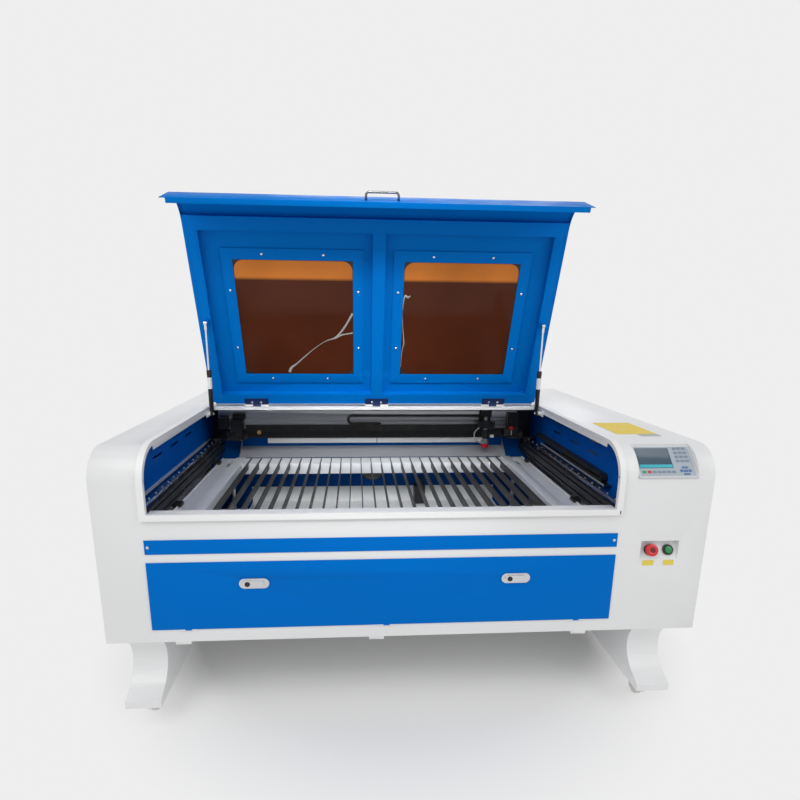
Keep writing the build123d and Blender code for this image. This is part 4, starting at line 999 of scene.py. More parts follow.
@dataclass(frozen=True)
class LidDress:
    """The raised lid: its folded skins, panes, black rings of painted shade under the panes, hinge plates,
    screws and streaks of film.

    They are modelled on the closed lid and turned up with it. Ways run forwards from the hinge and levels
    upwards from it, in millimetres.
    """

    body: str = "lid"
    window_middles: Span = (-409.75, 256.25)
    window_width: float = 464.0
    window_span: Span = (142.0, 626.0)
    pane_level: float = 27.6
    pane_thickness: float = 3.2
    pane_overlap: float = 20.0
    pane_corner: Corner = (40.0, 8)
    shade_ring_growth: Span = (44.0, 48.0)
    shade_ring_width: float = 24.0
    shade_ring_corner: Corner = (62.0, 8)
    clamp_level: float = 25.0
    clamp_width: float = 42.0
    clamp_screws: Span = (118.0, 121.0)
    screw_radius: float = 4.6
    hinge_middles: tuple[float, ...] = (-606.5, -76.75, 453.0)
    hinge_half: float = 50.0
    hinge_span: Span = (3.0, 32.0)
    hinge_levels: Span = (-2.0, 0.05)
    hinge_screw_half: float = 19.5
    hinge_screw_seat: Span = (17.0, -2.1)
    film_radius: float = 1.4
    film_flatness: float = 0.12

    @staticmethod
    def closed(along: float, level: float) -> Span:
        """Return the Y and Z of a point on the closed lid, in millimetres."""
        return HINGE.y / MM - along, HINGE.z / MM + level

    def raised(self, items: Sequence[bpy.types.Object], name: str, finish: str,
               bevel: float = 0) -> bpy.types.Object:
        """Join pieces of the closed lid, turn them up with it and finish them."""
        return finish_piece(turned(joined(items, name), LID_TURN), finish, self.body, bevel)

    def panes(self) -> None:
        """Cut the two acrylic panes with rounded corners."""
        made = []
        for middle in self.window_middles:
            half = self.window_width / 2 + self.pane_overlap
            rear, low = self.closed(self.window_span[0] - self.pane_overlap, self.pane_level)
            front, high = self.closed(self.window_span[1] + self.pane_overlap,
                                      self.pane_level + self.pane_thickness)
            corners = (middle - half, front, low), (middle + half, rear, high)
            made.append(plate("pane", *corners, self.pane_corner, Side.TOP))
        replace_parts(self.raised(made, "window_panes", "amber_sheet", 0.4), "lid_windows")

    def shade_rings(self) -> None:
        """Lay a thin black ring just below each pane, rounding the window's corners: painted shade for the
        window's shaded edges and corners.
        """
        made = []
        for middle in self.window_middles:
            rear, level = self.closed(self.window_span[0] + 2, self.pane_level - 0.35)
            front = self.closed(self.window_span[1] - 2, 0)[0]
            clear_selection()
            centre = (middle * MM, (rear + front) / 2 * MM, level * MM)
            bpy.ops.mesh.primitive_plane_add(size=1.0, location=centre)
            ring = bpy.context.active_object
            wide, deep = self.shade_ring_growth
            ring.scale = ((self.window_width + wide) * MM, (rear - front + deep) * MM, 1)
            settle(ring, "gasket")
            with Shaping(ring) as shape:
                shape.bevel(*self.shade_ring_corner, corners=True).inset(self.shade_ring_width).delete_faces()
            made.append(thickened(ring))
        self.raised(made, "window_gaskets", "black_plastic")

    def screws(self) -> None:
        """Seat eight bright screws in each window's clamp and two in each hinge plate."""
        middle_way = sum(self.window_span) / 2
        end_row = (self.window_span[1] - self.window_span[0] + self.clamp_width) / 2
        side_row = (self.window_width + self.clamp_width) / 2
        across_end, along_side = self.clamp_screws
        spots = [(side * across_end, end * end_row) for side in BOTH_WAYS for end in BOTH_WAYS]
        spots += [(side * side_row, end * along_side) for side in BOTH_WAYS for end in BOTH_WAYS]
        places = [(middle + across, *self.closed(middle_way + along, self.clamp_level))
                  for middle in self.window_middles for across, along in spots]
        places += [(middle + side * self.hinge_screw_half, *self.closed(*self.hinge_screw_seat))
                   for middle in self.hinge_middles for side in BOTH_WAYS]
        made = [pan_screw(place, (0, 0, -1), self.screw_radius) for place in places]
        self.raised(made, "lid_screws", "chrome")

    def hinge_plates(self) -> None:
        """Fold the three dark hinge plates over the lid's lower band."""
        made = []
        rear, low = self.closed(self.hinge_span[0], self.hinge_levels[0])
        front, high = self.closed(self.hinge_span[1], self.hinge_levels[1])
        for middle in self.hinge_middles:
            leaf = block("hinge_plate", (middle - self.hinge_half, front, low),
                         (middle + self.hinge_half, rear, high))
            with Shaping(leaf) as shape:
                shape.edges(lambda centre, way: abs(way.z) > FACING and centre.y < rear - 10).bevel(5, 4)
                shape.side(Side.UNDER).inset(2.5, -0.3)
            made.append(leaf)
        self.raised(made, "lid_hinge_plates", "dark_blue_sheet", 0.3)

    def film(self) -> None:
        """Lay the torn edges of the protective film on the panes, each as an X and a way at every bend."""
        streaks = (
            ((-455, 150), (-449, 172), (-428, 184), (-396, 214), (-343, 262), (-291, 298), (-256, 305),
             (-222, 343), (-200, 380), (-181, 415)),
            ((-256, 305), (-232, 322), (-205, 326), (-181, 331)),
            ((26, 150), (29, 262), (38, 280), (30, 346), (24, 430), (30, 500), (45, 480), (53, 492)),
        )
        widths = (
            (4.5, 3.6, 2.4, 1.6, 0.9, 0.8, 2.2, 2.8, 2.4, 3.0),
            (1.8, 2.6, 1.5, 2.2),
            (0.5, 0.6, 1.8, 0.7, 0.6, 2.6, 3.0, 1.6),
        )
        made = []
        for points, swell in zip(streaks, widths):
            line = [(x, *self.closed(way, self.pane_level - 0.5)) for x, way in points]
            streak = tube("film", line, self.film_radius, swell)
            with Shaping(streak) as shape:
                shape.grow((1.0, 1.0, self.film_flatness), line[0])
            made.append(streak)
        self.raised(made, "film_streaks", "torn_film")

    def build(self) -> None:
        """Build every piece on the lid."""
        softened("lid_shell", "lid_blue", self.body, 1.0)
        softened("lid_inner_frame", "lid_blue", self.body, 0.8)
        softened("window_clamps", "lid_blue", self.body, 0.5)
        softened("lid_handle", "dark_chrome", self.body, 0.4)
        self.panes()
        self.shade_rings()
        self.hinge_plates()
        self.screws()
        self.film()


@dataclass(frozen=True)
class StrutDress:
    """One gas strut: its black cylinder with a band and a collar, and the fitting on its rod.

    Each sleeve is a radius and the span that it covers, up from the strut's lower pivot, in millimetres.
    """

    side: str
    low: Point
    high: Point
    band: tuple[float, Span] = (9.35, (106, 153))
    collar: tuple[float, Span] = (9.9, (162, 182))
    fitting: tuple[float, Span] = (5.6, (347, 358))

    def at(self, distance: float) -> Vector:
        """Return the point that far up the strut from its lower pivot, in millimetres."""
        way = (Vector(self.high) - Vector(self.low)).normalized()
        return Vector(self.low) + way * distance

    def sleeve(self, name: str, radius: float, span: Span, finish: str, body: str) -> None:
        """Model one thin sleeve round the strut, open at both ends.

        Args:
            name: The sleeve's name.
            radius: Its outer radius, in millimetres.
            span: Its ends, in millimetres up the strut.
            finish: The name of its finish.
            body: The body that it moves with.
        """
        item = drum(name, radius, self.at(span[0]), self.at(span[1]))
        way = (self.at(1) - self.at(0)).normalized()
        with Shaping(item) as shape:
            shape.faces(lambda centre, out: abs(out.dot(way)) > FACING).delete_faces()
        finish_piece(thickened(item), finish, body, 0.1)

    def build(self) -> None:
        """Build the strut's pieces."""
        cylinder = f"{self.side}_strut_cylinder"
        self.sleeve(f"{self.side}_strut_band", *self.band, "white_label", cylinder)
        self.sleeve(f"{self.side}_strut_collar", *self.collar, "black_plastic", cylinder)
        self.sleeve(f"{self.side}_strut_fitting", *self.fitting, "zinc", f"{self.side}_strut_rod")
        softened(cylinder, "black_sheet", cylinder, 0.5)


STRUTS = {"left": -770.5, "right": 614.0}
STRUT_PIVOTS = ((0.0, 880.0), (-10.27, 1250.8))


@dataclass(frozen=True)
class FrontDress:
    """The front: its doors, their oval locks, and the screws of the slot cover."""

    face: float = -728.0
    lock_level: float = 478.0
    lock_proud: float = 8.3
    locks: tuple[tuple[str, float], ...] = (("left_door_lock", -504.5), ("right_door_lock", 315.0))
    bar_ends: Span = (12.0, 50.0)
    bar_depths: Span = (0.3, 3.8)
    bar_half: float = 8.0
    button_radius: float = 8.2
    cover_screws: Span = (-795.0, 645.0)
    cover_level: float = 600.0

    def lock(self, body: str, x: float) -> None:
        """Model one lock's turning bar and its black key button."""
        outer = self.face - self.lock_proud
        low = (x + self.bar_ends[0], outer + self.bar_depths[0], self.lock_level - self.bar_half)
        high = (x + self.bar_ends[1], outer + self.bar_depths[1], self.lock_level + self.bar_half)
        bar = plate(f"{body}_bar", low, high, (3.5, 4), Side.FRONT, (2.0, -0.8))
        finish_piece(bar, "lock_metal", body, 0.5)
        rear, front = (x, outer + 2.5, self.lock_level), (x, outer - 1.6, self.lock_level)
        button = drum(f"{body}_button", self.button_radius, rear, front)
        finish_piece(dished(button, Side.FRONT, (1.6, -0.7), (2.4, 0.5)), "black_plastic", body, 0.5)

    def build(self) -> None:
        """Build the front's pieces."""
        softened("front_door", "blue_sheet", "front_door", 0.7)
        softened("slot_cover", "blue_sheet", "machine", 0.7)
        softened("lock_plates", "lock_metal", "front_door", 0.8)
        for body, x in self.locks:
            softened(body, "lock_metal", body, 0.5)
            self.lock(body, x)
        made = [pan_screw((x, self.face + 0.5, self.cover_level), (0, -1, 0), 4.4) for x in self.cover_screws]
        finish_piece(joined(made, "cover_screws"), "lock_metal", "machine", 0)


@dataclass(frozen=True)
class PanelDress:
    """The control panel: its bezel, sunken screen and membrane keys.

    The pieces are modelled flat. Places on the panel are shares of its width from the left and of its height
    from the top.
    """

    middle: Point = (799.5, -684.0, 842.0)
    tilt: float = 46.364
    size: Span = (191.0, 116.8)
    face: float = 9.0
    skin_corners: tuple[Span, Span] = ((0.035, 0.94), (0.965, 0.06))
    screen_corners: tuple[Span, Span] = ((0.045, 0.715), (0.615, 0.10))
    bar_corners: tuple[Span, Span] = ((0.055, 0.70), (0.605, 0.605))
    pad_start: Span = (0.728, 0.12)
    pad_pitch: Span = (0.079, 0.127)
    row_start: float = 0.274
    row_pitch: float = 0.0815
    row_down: float = 0.83
    row_key: Span = (12.0, 8.4)
    arrow_middle: Span = (0.808, 0.80)

    def placed(self, item: bpy.types.Object) -> bpy.types.Object:
        """Set a piece that was modelled flat on the panel's plane."""
        turn = Matrix.Rotation(math.radians(self.tilt), 4, "X")
        return turned(item, Matrix.Translation(Vector(self.middle) * MM) @ turn)

    def spot(self, across: float, down: float) -> Span:
        """Return a place on the flat panel from its shares across and down, in millimetres."""
        return (across - 0.5) * self.size[0], (0.5 - down) * self.size[1]

    def slab(self, name: str, corners: tuple[Span, Span], levels: Span, corner: Corner,
             *steps: Span) -> bpy.types.Object:
        """Model one flat part of the panel.

        Args:
            name: The part's name.
            corners: Its lower left and upper right corners, as shares of the panel.
            levels: Its underside and its top, in millimetres.
            corner: The radius of its corners, in millimetres, and their steps.
            *steps: The insets of its top and their heights, in millimetres.

        Returns:
            The part, still flat.
        """
        low, high = (self.spot(*place) for place in corners)
        return plate(name, (*low, levels[0]), (*high, levels[1]), corner, Side.TOP, *steps)

    def key(self, across: float, down: float, wide: float, high: float) -> bpy.types.Object:
        """Emboss one membrane key, whose sizes are in millimetres."""
        x, y = self.spot(across, down)
        low = (x - wide / 2, y - high / 2, self.face)
        return plate("key", low, (x + wide / 2, y + high / 2, self.face + 1.1),
                     (min(wide, high) * 0.22, 3), Side.TOP, (0.7, 0.3))

    def bezel(self) -> None:
        """Model the bezel with its raised rim, and the skin that lies in it."""
        whole = ((0.0, 1.0), (1.0, 0.0))
        item = self.slab("panel_bezel", whole, (0, self.face), (4, 4), (3.0, 0.0), (1.2, -0.5))
        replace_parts(finish_piece(self.placed(item), "panel_rim", "machine", 0.7), "control_panel")
        skin = self.slab("panel_skin", self.skin_corners, (self.face - 0.8, self.face), (2.5, 3))
        finish_piece(self.placed(skin), "panel_grey", "machine", 0.2)

    def screen(self) -> None:
        """Model the dark screen in its frame, with the lit bar along its foot."""
        item = self.slab("screen", self.screen_corners, (8.6, 9.8), (1.5, 3), (1.4, -0.5))
        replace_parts(finish_piece(self.placed(item), "screen_face", "machine", 0.2), "display_screen")
        low, high = (self.spot(*place) for place in self.bar_corners)
        lit = dished(block("screen_bar", (*low, 9.2), (*high, 9.5)), Side.TOP, (0.8, 0.05))
        finish_piece(self.placed(lit), "screen_lit", "machine", 0)

    def keys(self) -> None:
        """Emboss the number keys, the arrow keys and the row of function keys."""
        across, down = self.pad_start
        pad = [self.key(across + self.pad_pitch[0] * column, down + self.pad_pitch[1] * row, 12.0, 8.6)
               for row in range(4) for column in range(3)]
        row = [self.key(self.row_start + self.row_pitch * index, self.row_down, *self.row_key)
               for index in range(5)]
        finish_piece(self.placed(joined(pad + row, "grey_keys")), "key_grey", "machine", 0.2)
        across, down = self.arrow_middle
        arrows = [self.key(across, place, 20.0, 6.4) for place in (0.70, 0.90)]
        arrows += [self.key(place, down, 9.0, 9.0) for place in (0.735, 0.88)]
        arrows.append(self.key(across, down, 15.0, 7.6))
        finish_piece(self.placed(joined(arrows, "arrow_keys")), "key_blue", "machine", 0.2)
        for place, finish in ((0.10, "key_green"), (0.189, "key_red")):
            finish_piece(self.placed(self.key(place, self.row_down, *self.row_key)), finish, "machine", 0.2)

    def build(self) -> None:
        """Build the whole panel."""
        self.bezel()
        self.screen()
        self.keys()


@dataclass(frozen=True)
class ButtonDress:
    """The stop and start buttons, the small plates below them, and the plate and flap on the deck."""

    tilt: float = math.atan2(26, 64)
    stop: Point = (772.0, -713.6, 558.0)
    start: Point = (832.0, -713.6, 558.0)
    crown_radius: float = 20.0
    crown_span: Span = (13.0, 20.0)
    stem_radius: float = 8.0
    disc_radius: float = 8.5
    bezel_radius: float = 17.0
    plate_spans: tuple[Span, Span] = ((748.0, 785.0), (817.0, 852.0))
    plate_levels: Span = (510.0, 528.0)
    plate_depths: Span = (-725.9, -725.0)
    deck: float = 895.0

    def facing(self, place: Sequence[float], item: bpy.types.Object) -> bpy.types.Object:
        """Set a piece that was modelled along Z so that it looks out of the recess."""
        way = Vector((0, -math.cos(self.tilt), math.sin(self.tilt)))
        turn = way.to_track_quat("Z", "Y").to_matrix().to_4x4()
        return turned(item, Matrix.Translation(Vector(place) * MM) @ turn)

    def stop_button(self) -> None:
        """Model the stop button's domed crown, its stem and the disc on its top."""
        low, high = self.crown_span
        crown = drum("stop_crown", self.crown_radius, (0, 0, low), (0, 0, high), 48)
        with Shaping(crown) as shape:
            shape.side(Side.TOP).extrude(z=3).grow((0.93, 0.93, 1), ORIGIN)
            shape.extrude(z=1.6).grow((0.8, 0.8, 1), ORIGIN).inset(3.2, -0.7)
        piece = finish_piece(self.facing(self.stop, crown), "red_plastic", "stop_button", 0.8, 3)
        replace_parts(piece, "stop_button")
        stem = drum("stop_stem", self.stem_radius, (0, 0, -20), (0, 0, low + 0.2))
        stem = self.facing(self.stop, dished(stem, Side.UNDER, (1.5, 0.6)))
        finish_piece(stem, "red_plastic", "stop_button", 0.4)
        disc = drum("stop_disc", self.disc_radius, (0, 0, high + 3.6), (0, 0, high + 4.4))
        disc = self.facing(self.stop, dished(disc, Side.TOP, (2.4, 0.2)))
        finish_piece(disc, "stop_mark", "stop_button", 0.2)

    def start_button(self) -> None:
        """Model the start button's black bezel, and round its cap and both bases."""
        rim = drum("start_bezel", self.bezel_radius, ORIGIN, (0, 0, 7.2), 40)
        with Shaping(rim) as shape:
            shape.side(Side.TOP).inset(2.2, 0.4).inset(2.6).extrude(z=-5.0)
        finish_piece(self.facing(self.start, rim), "black_plastic", "machine", 0.6)
        softened("start_button", "green_plastic", "start_button", 0.8)
        softened("button_bases", "black_plastic", "machine", 0.5)

    def plates(self) -> None:
        """Fix the bare yellow plates below the buttons and on the right deck, and the grey flap."""
        front, rear = self.plate_depths
        low, high = self.plate_levels
        made = []
        for left, right in self.plate_spans:
            corners = (left, front, low), (right, rear, high)
            made.append(plate("button_plate", *corners, (2, 3), Side.FRONT, (1.4, -0.2)))
        finish_piece(joined(made, "button_plates"), "small_plate", "machine", 0.2)
        low, high = (730, -505, self.deck), (872, -300, self.deck + 1.0)
        deck = plate("deck_plate", low, high, (6, 4), Side.TOP, (4, -0.25))
        finish_piece(deck, "yellow_plate", "machine", 0.2)
        low, high = (800, -540, self.deck), (872, -505.5, self.deck + 0.7)
        flap = plate("deck_flap", low, high, (3, 3), Side.TOP, (3, -0.15))
        finish_piece(flap, "grey_sheet", "machine", 0.15)

    def build(self) -> None:
        """Build the buttons and plates."""
        self.stop_button()
        self.start_button()
        self.plates()


@dataclass(frozen=True)
class GantryDress:
    """The gantry: its cable chain, its drives and the moving head.

    Depths are ways forwards from the beam's front face, in millimetres.
    """

    beam_front: float = 360.0
    beam_low: float = 742.0
    chain_levels: Span = (26.0, 66.0)
    chain_ends: Span = (-212.75, -51.75)
    chain_links: tuple[int, int, int] = (46, 10, 6)
    link_half: Point = (7.2, 2.4, 6.0)
    left_wheels: tuple[Point, ...] = ((-700, 712, 13), (-742, 708, 10), (-722, 808, 9))
    right_wheels: tuple[Point, ...] = ((604, 812, 12), (628, 786, 9), (648, 720, 12), (622, 706, 8))
    knob_x: float = 602.0
    head_x: float = 474.0
    tube_y: float = 322.0
    mirror_knobs: tuple[Span, ...] = ((-16, 848), (16, 848), (-16, 820))

    def front(self, x: float, depth: float, z: float) -> Point:
        """Return a point that far before the beam's front face."""
        return x, self.beam_front - depth, z

    def link(self, place: Sequence[float], angle: float) -> bpy.types.Object:
        """Model one link of the folded cable chain, turned in the X and Z plane."""
        item = block("link", [-half for half in self.link_half], self.link_half)
        item = dished(item, Side.FRONT, (1.3, -0.7), (1.2, 0.5))
        with Shaping(item) as shape:
            shape.ends(Axis.X).grow((1, 1, 0.72), ORIGIN)
        turn = Matrix.Rotation(angle, 4, "Y")
        return turned(item, Matrix.Translation(Vector(place) * MM) @ turn)

    def head_chain(self) -> None:
        """Lay the head's cable chain, folded back on itself in front of the beam."""
        low, high = (self.beam_low + level for level in self.chain_levels)
        bend, end = self.chain_ends
        radius = (high - low) / 2
        centre = bend + radius + 6
        y = self.beam_front - 3.6
        many, few, turns = self.chain_links
        first = self.link((centre, y, high), 0)
        reach = self.head_x - centre
        upper = copies(first, [(reach * step / many, 0, 0) for step in range(1, many + 1)])
        second = self.link((centre + 8, y, low), 0)
        reach = end - centre - 8
        lower = copies(second, [(reach * step / few, 0, 0) for step in range(1, few + 1)])
        curve = []
        for step in range(1, turns):
            angle = math.pi / 2 + step * math.pi / turns
            spot = (centre + radius * math.cos(angle), y, (low + high) / 2 + radius * math.sin(angle))
            curve.append(self.link(spot, -(angle + math.pi / 2)))
        finish_piece(joined(upper + lower + curve, "head_cable_chain"), "black_plastic", "gantry", 0)

    @staticmethod
    def motor(name: str, low: Sequence[float], high: Sequence[float]) -> bpy.types.Object:
        """Model a square motor with a stepped flange and a sunken shaft boss."""
        item = block(name, low, high)
        with Shaping(item) as shape:
            shape.side(Side.FRONT).inset(2.5, -1.2).inset(6, 0.6).inset(4).extrude(y=-3)
        return item

    def wheel(self, place: Point, depths: Span) -> bpy.types.Object:
        """Model one belt wheel, hollowed on both faces.

        Args:
            place: Its X, its Z and its radius, in millimetres.
            depths: The depths of its front and rear faces, in millimetres.

        Returns:
            The wheel.
        """
        x, z, radius = place
        item = drum("pulley", radius, self.front(x, depths[0], z), self.front(x, depths[1], z))
        return both_dished(item, Axis.Y, (radius * 0.2, -1.5), (radius * 0.35, 1.2))

    def left_drive(self) -> None:
        """Model the left end's motor, brackets and belt wheels, and the brass eye of its guard."""
        parts = [self.motor("drive", self.front(-771, 52, 738), self.front(-716, 2, 794))]
        for name, low, high in (
            ("bracket", self.front(-790, 34, 690), self.front(-716, 4, 737)),
            ("cap", self.front(-762, 40, 796), self.front(-706, 4, 820)),
        ):
            part = dished(block(name, low, high), Side.FRONT, (5, -3), (5, 1.5))
            parts.append(dished(part, Side.TOP, (4, -1.5)))
        parts += [self.wheel(place, (44, 30)) for place in self.left_wheels]
        finish_piece(joined(parts, "left_drive"), "black_sheet", "gantry", 0.6)
        eye = drum("guard_eye", 10, self.front(-643, 12, 726), self.front(-643, 4.2, 726))
        with Shaping(eye) as shape:
            shape.side(Side.FRONT).inset(2.6, 0.6).inset(1.6).extrude(y=4.5)
        finish_piece(eye, "brass", "gantry", 0.5)

    def right_drive(self) -> None:
        """Model the right end's belt tensioner with its wheels, and its red knob on a pale stem."""
        parts = [self.motor("tensioner", self.front(584, 44, 770), self.front(636, 2, 824))]
        for name, low, high in (
            ("bracket", self.front(582, 30, 742), self.front(640, 4, 769)),
            ("foot", self.front(606, 26, 694), self.front(662, 4, 741)),
        ):
            parts.append(dished(block(name, low, high), Side.FRONT, (5, -2.5), (6, 1.5)))
        parts += [self.wheel(place, (52, 26)) for place in self.right_wheels]
        finish_piece(joined(parts, "right_drive"), "black_sheet", "gantry", 0.6)
        knob = drum("red_knob", 11, self.front(self.knob_x, 52, 752), self.front(self.knob_x, 32, 752), 24)
        finish_piece(dished(knob, Side.FRONT, (2.5, 1.5), (2.5, -1.0)), "red_plastic", "gantry", 0.8)
        low, high = (self.front(self.knob_x, 48, level) for level in (718, 741.5))
        stem = drum("knob_stem", 2.2, low, high, 16)
        finish_piece(dished(stem, Side.UNDER, (0.6, 0.8)), "pale_nylon", "gantry", 0)

    def head_block(self) -> None:
        """Model the head's mirror holder with its knobs, and the clamps of its sleeve."""
        x, y = self.head_x, self.tube_y
        mirror = block("mirror_holder", (x - 22, y - 24, 812), (x + 22, y + 8, 856))
        with Shaping(mirror) as shape:
            shape.side(Side.FRONT).inset(4, -2.5).inset(5, 1.5)
            shape.ends(Axis.X).inset(5, -2.0, single=True)
        parts = [mirror]
        for across, z in self.mirror_knobs:
            knob = drum("knob", 5, (x + across, y - 34, z), (x + across, y - 24, z), 20)
            parts.append(dished(knob, Side.FRONT, (1.2, 0.8)))
        for side in BOTH_WAYS:
            clamp = block("sleeve_clamp", (x + side * 22, y - 20, 756), (x + side * 42, y - 4, 786))
            parts.append(dished(clamp, Side.FRONT, (3, -1.5)))
        finish_piece(joined(parts, "head_block"), "black_sheet", "head", 0.7)

    def focus_tube(self) -> None:
        """Model the focus tube's rings, its air fitting and the air tube that feeds it."""
        x, y = self.head_x, self.tube_y
        ring = drum("sleeve_ring", 15.5, (x, y, 698), (x, y, 744), 40)
        finish_piece(both_dished(ring, Axis.Z, (2.0, -1.0)), "black_sheet", "focus_tube", 0.7)
        ring = drum("nozzle_ring", 18.5, (x, y, 655), (x, y, 671), 40)
        finish_piece(both_dished(ring, Axis.Z, (2.5, 0.8)), "red_plastic", "focus_tube", 1.0)
        fitting = drum("air_fitting", 8, (x + 22, y - 10, 712), (x + 38, y - 14, 712), 24)
        finish_piece(both_dished(fitting, Axis.X, (2.0, 1.2)), "pale_nylon", "focus_tube", 0.6)
        line = ((x - 20, y - 14, 766), (x - 30, y - 14, 760), (x - 58, y - 12, 734), (x - 59, y - 12, 712),
                (x - 54, y - 12, 692), (x - 40, y - 10, 682), (x - 16, y - 6, 676))
        finish_piece(tube("air_tube", line, 3.4), "air_tube", "focus_tube", 0)
        softened("nozzle", "dark_brass", "focus_tube", 0.4)

    def build(self) -> None:
        """Build every piece on the gantry."""
        softened("gantry_beam", "extrusion", "gantry", 0.5)
        softened("gantry_ends", "black_sheet", "gantry", 0.6)
        self.head_chain()
        self.left_drive()
        self.right_drive()
        self.head_block()
        self.focus_tube()


@dataclass(frozen=True)
class ChamberDress:
    """The chamber: its linings, lamp bar, hood, rails, and the chain beside the right rail."""

    rail_middles: Span = (-849.75, 700.25)
    rail_top: float = 693.0
    rail_front: float = -665.0
    bolt_pitch: float = 62.0
    bolt_count: int = 18
    bolt_radius: float = 4.2
    belt_way: float = 17.0
    belt_half: float = 2.5
    trim_way: float = 53.0
    slat_count: int = 9
    slat_pitch: float = 10.0
    slat_low: float = 474.0
    rib_count: int = 40
    rib_pitch: float = 15.2

    def rear(self) -> None:
        """Split the rear lining into its blue sheet, white lamp bar and grey hood, and dress them."""
        split_solids("rear_lining", {
            "lamp_white": lambda low, high: high.z - low.z < 30,
            "hood_grey": lambda low, high: high.x < 600 and high.z < 700,
            "rear_blue": lambda low, high: True,
        }, "machine")
        # A black plate on the lining above the lamp bar: painted shade, where the beam's shadow falls on the
        # rear lining.
        shade_plate = block("fume_baffle", (-745, 424.5, 682.5), (590, 427.7, 741))
        finish_piece(dished(shade_plate, Side.FRONT, (6, -1.0)), "black_sheet", "machine", 0.4)
        seam = block("lamp_seam", (-64, 415.4, 657.4), (-61, 427.5, 681.4))
        finish_piece(dished(seam, Side.FRONT, (0.5, -0.1)), "black_plastic", "machine", 0.1)
        grille = []
        for step in range(self.slat_count):
            z = self.slat_low + step * self.slat_pitch
            slat = block("grille_slat", (-140, 425.6, z), (-28, 427.6, z + 5))
            with Shaping(slat) as shape:
                shape.side(Side.FRONT).grow((1, 1, 0.6), (0, 426, z))
            grille.append(slat)
        finish_piece(joined(grille, "exhaust_grille"), "black_sheet", "machine", 0.3)

    def rails(self) -> None:
        """Model both rails' bolts and belts, and the trim and ledge beside the left one."""
        bolts = []
        for middle in self.rail_middles:
            for step in range(self.bolt_count):
                y = self.rail_front + step * self.bolt_pitch
                low, high = (middle, y, self.rail_top), (middle, y, self.rail_top + 1.6)
                bolt = drum("rail_bolt", self.bolt_radius, low, high, 16)
                with Shaping(bolt) as shape:
                    shape.side(Side.TOP).inset(1.3).extrude(z=-0.9)
                bolts.append(bolt)
        finish_piece(joined(bolts, "rail_bolts"), "screw_steel", "machine", 0)
        belts = []
        for side, middle in zip(BOTH_WAYS, self.rail_middles):
            inner = middle - side * self.belt_way
            belt = block("belt", (inner - self.belt_half, -690, 675.2), (inner + self.belt_half, 318, 677.0))
            belts.append(dished(belt, Side.TOP, (0.6, -0.3)))
        finish_piece(joined(belts, "rail_belts"), "black_plastic", "machine", 0.2)
        left = self.rail_middles[0] - self.trim_way
        trim = block("left_lining_trim", (left, -700, 676), (left + 12, 425, 682))
        finish_piece(dished(trim, Side.TOP, (2, -0.8)), "white_sheet", "machine", 0.5)
        ledge = block("left_beam_ledge", (left + 12, -700, 652), (left + 32, 425, 655))
        finish_piece(dished(ledge, Side.TOP, (3, -0.8)), "grey_sheet", "machine", 0.5)

    def side_chain(self) -> None:
        """Split the right rail's cable chain from the rail beams, and rib it."""
        split_solids("rail_beams", {
            "black_plastic": lambda low, high: low.x > 720,
            "black_extrusion": lambda low, high: True,
        }, "machine", 0.4)
        rib = block("rib", (725.6, -310, 715.6), (752.9, -303, 729.6))
        rib = dished(dished(rib, Side.TOP, (2, 0.6)), Side.LEFT, (1.8, -0.5))
        ribs = copies(rib, [(0, self.rib_pitch * step, 0) for step in range(1, self.rib_count)])
        finish_piece(joined(ribs, "side_chain_ribs"), "chain_rib", "machine", 0)
        ledge = block("chain_ledge", (724.9, -455, 690.4), (728.4, 225, 698.0))
        finish_piece(dished(ledge, Side.TOP, (1.0, -0.4)), "grey_sheet", "machine", 0.4)

    def build(self) -> None:
        """Build every piece in the chamber."""
        self.rear()
        self.rails()
        self.side_chain()
        split_solids("floor_pan", {
            "tray_sheet": lambda low, high: low.z < 283 and high.z > 400,
            "white_sheet": lambda low, high: True,
        }, "machine", 0.6)


@dataclass(frozen=True)
class TableDress:
    """The strip table: its frame, the black guides bolted to its sides, and the lips along them."""

    body: str = "table"
    guide_spans: tuple[Span, Span] = ((-838.0, -806.0), (656.0, 688.0))
    guide_starts: Span = (-372.0, 210.0)
    guide_length: float = 42.0
    guide_levels: Span = (600.1, 611.0)
    lip_spans: tuple[Span, Span] = ((-820.7, -817.0), (667.5, 671.2))
    lip_ends: Span = (-686.0, 331.0)
    lip_levels: Span = (599.5, 604.5)

    def guides(self) -> None:
        """Bolt two black guide blocks to each side of the table."""
        low, high = self.guide_levels
        made = []
        for left, right in self.guide_spans:
            for y in self.guide_starts:
                item = block("guide", (left, y, low), (right, y + self.guide_length, high))
                with Shaping(item) as shape:
                    shape.side(Side.TOP).inset(4, 1.5).inset(5, -1.5)
                    shape.edges_along(Axis.Z).bevel(4, 3)
                made.append(item)
        finish_piece(joined(made, "table_guides"), "black_plastic", self.body, 0.6)

    def lips(self) -> None:
        """Fold up the thin lips along the table's outer sides."""
        low, high = self.lip_levels
        front, rear = self.lip_ends
        made = [dished(block("lip", (left, front, low), (right, rear, high)), Side.TOP, (0.8, 0.3))
                for left, right in self.lip_spans]
        finish_piece(joined(made, "table_lips"), "white_sheet", self.body, 0.4)

    def build(self) -> None:
        """Build the table's pieces."""
        softened("table_frame", "table_white", self.body, 0.7)
        self.guides()
        self.lips()


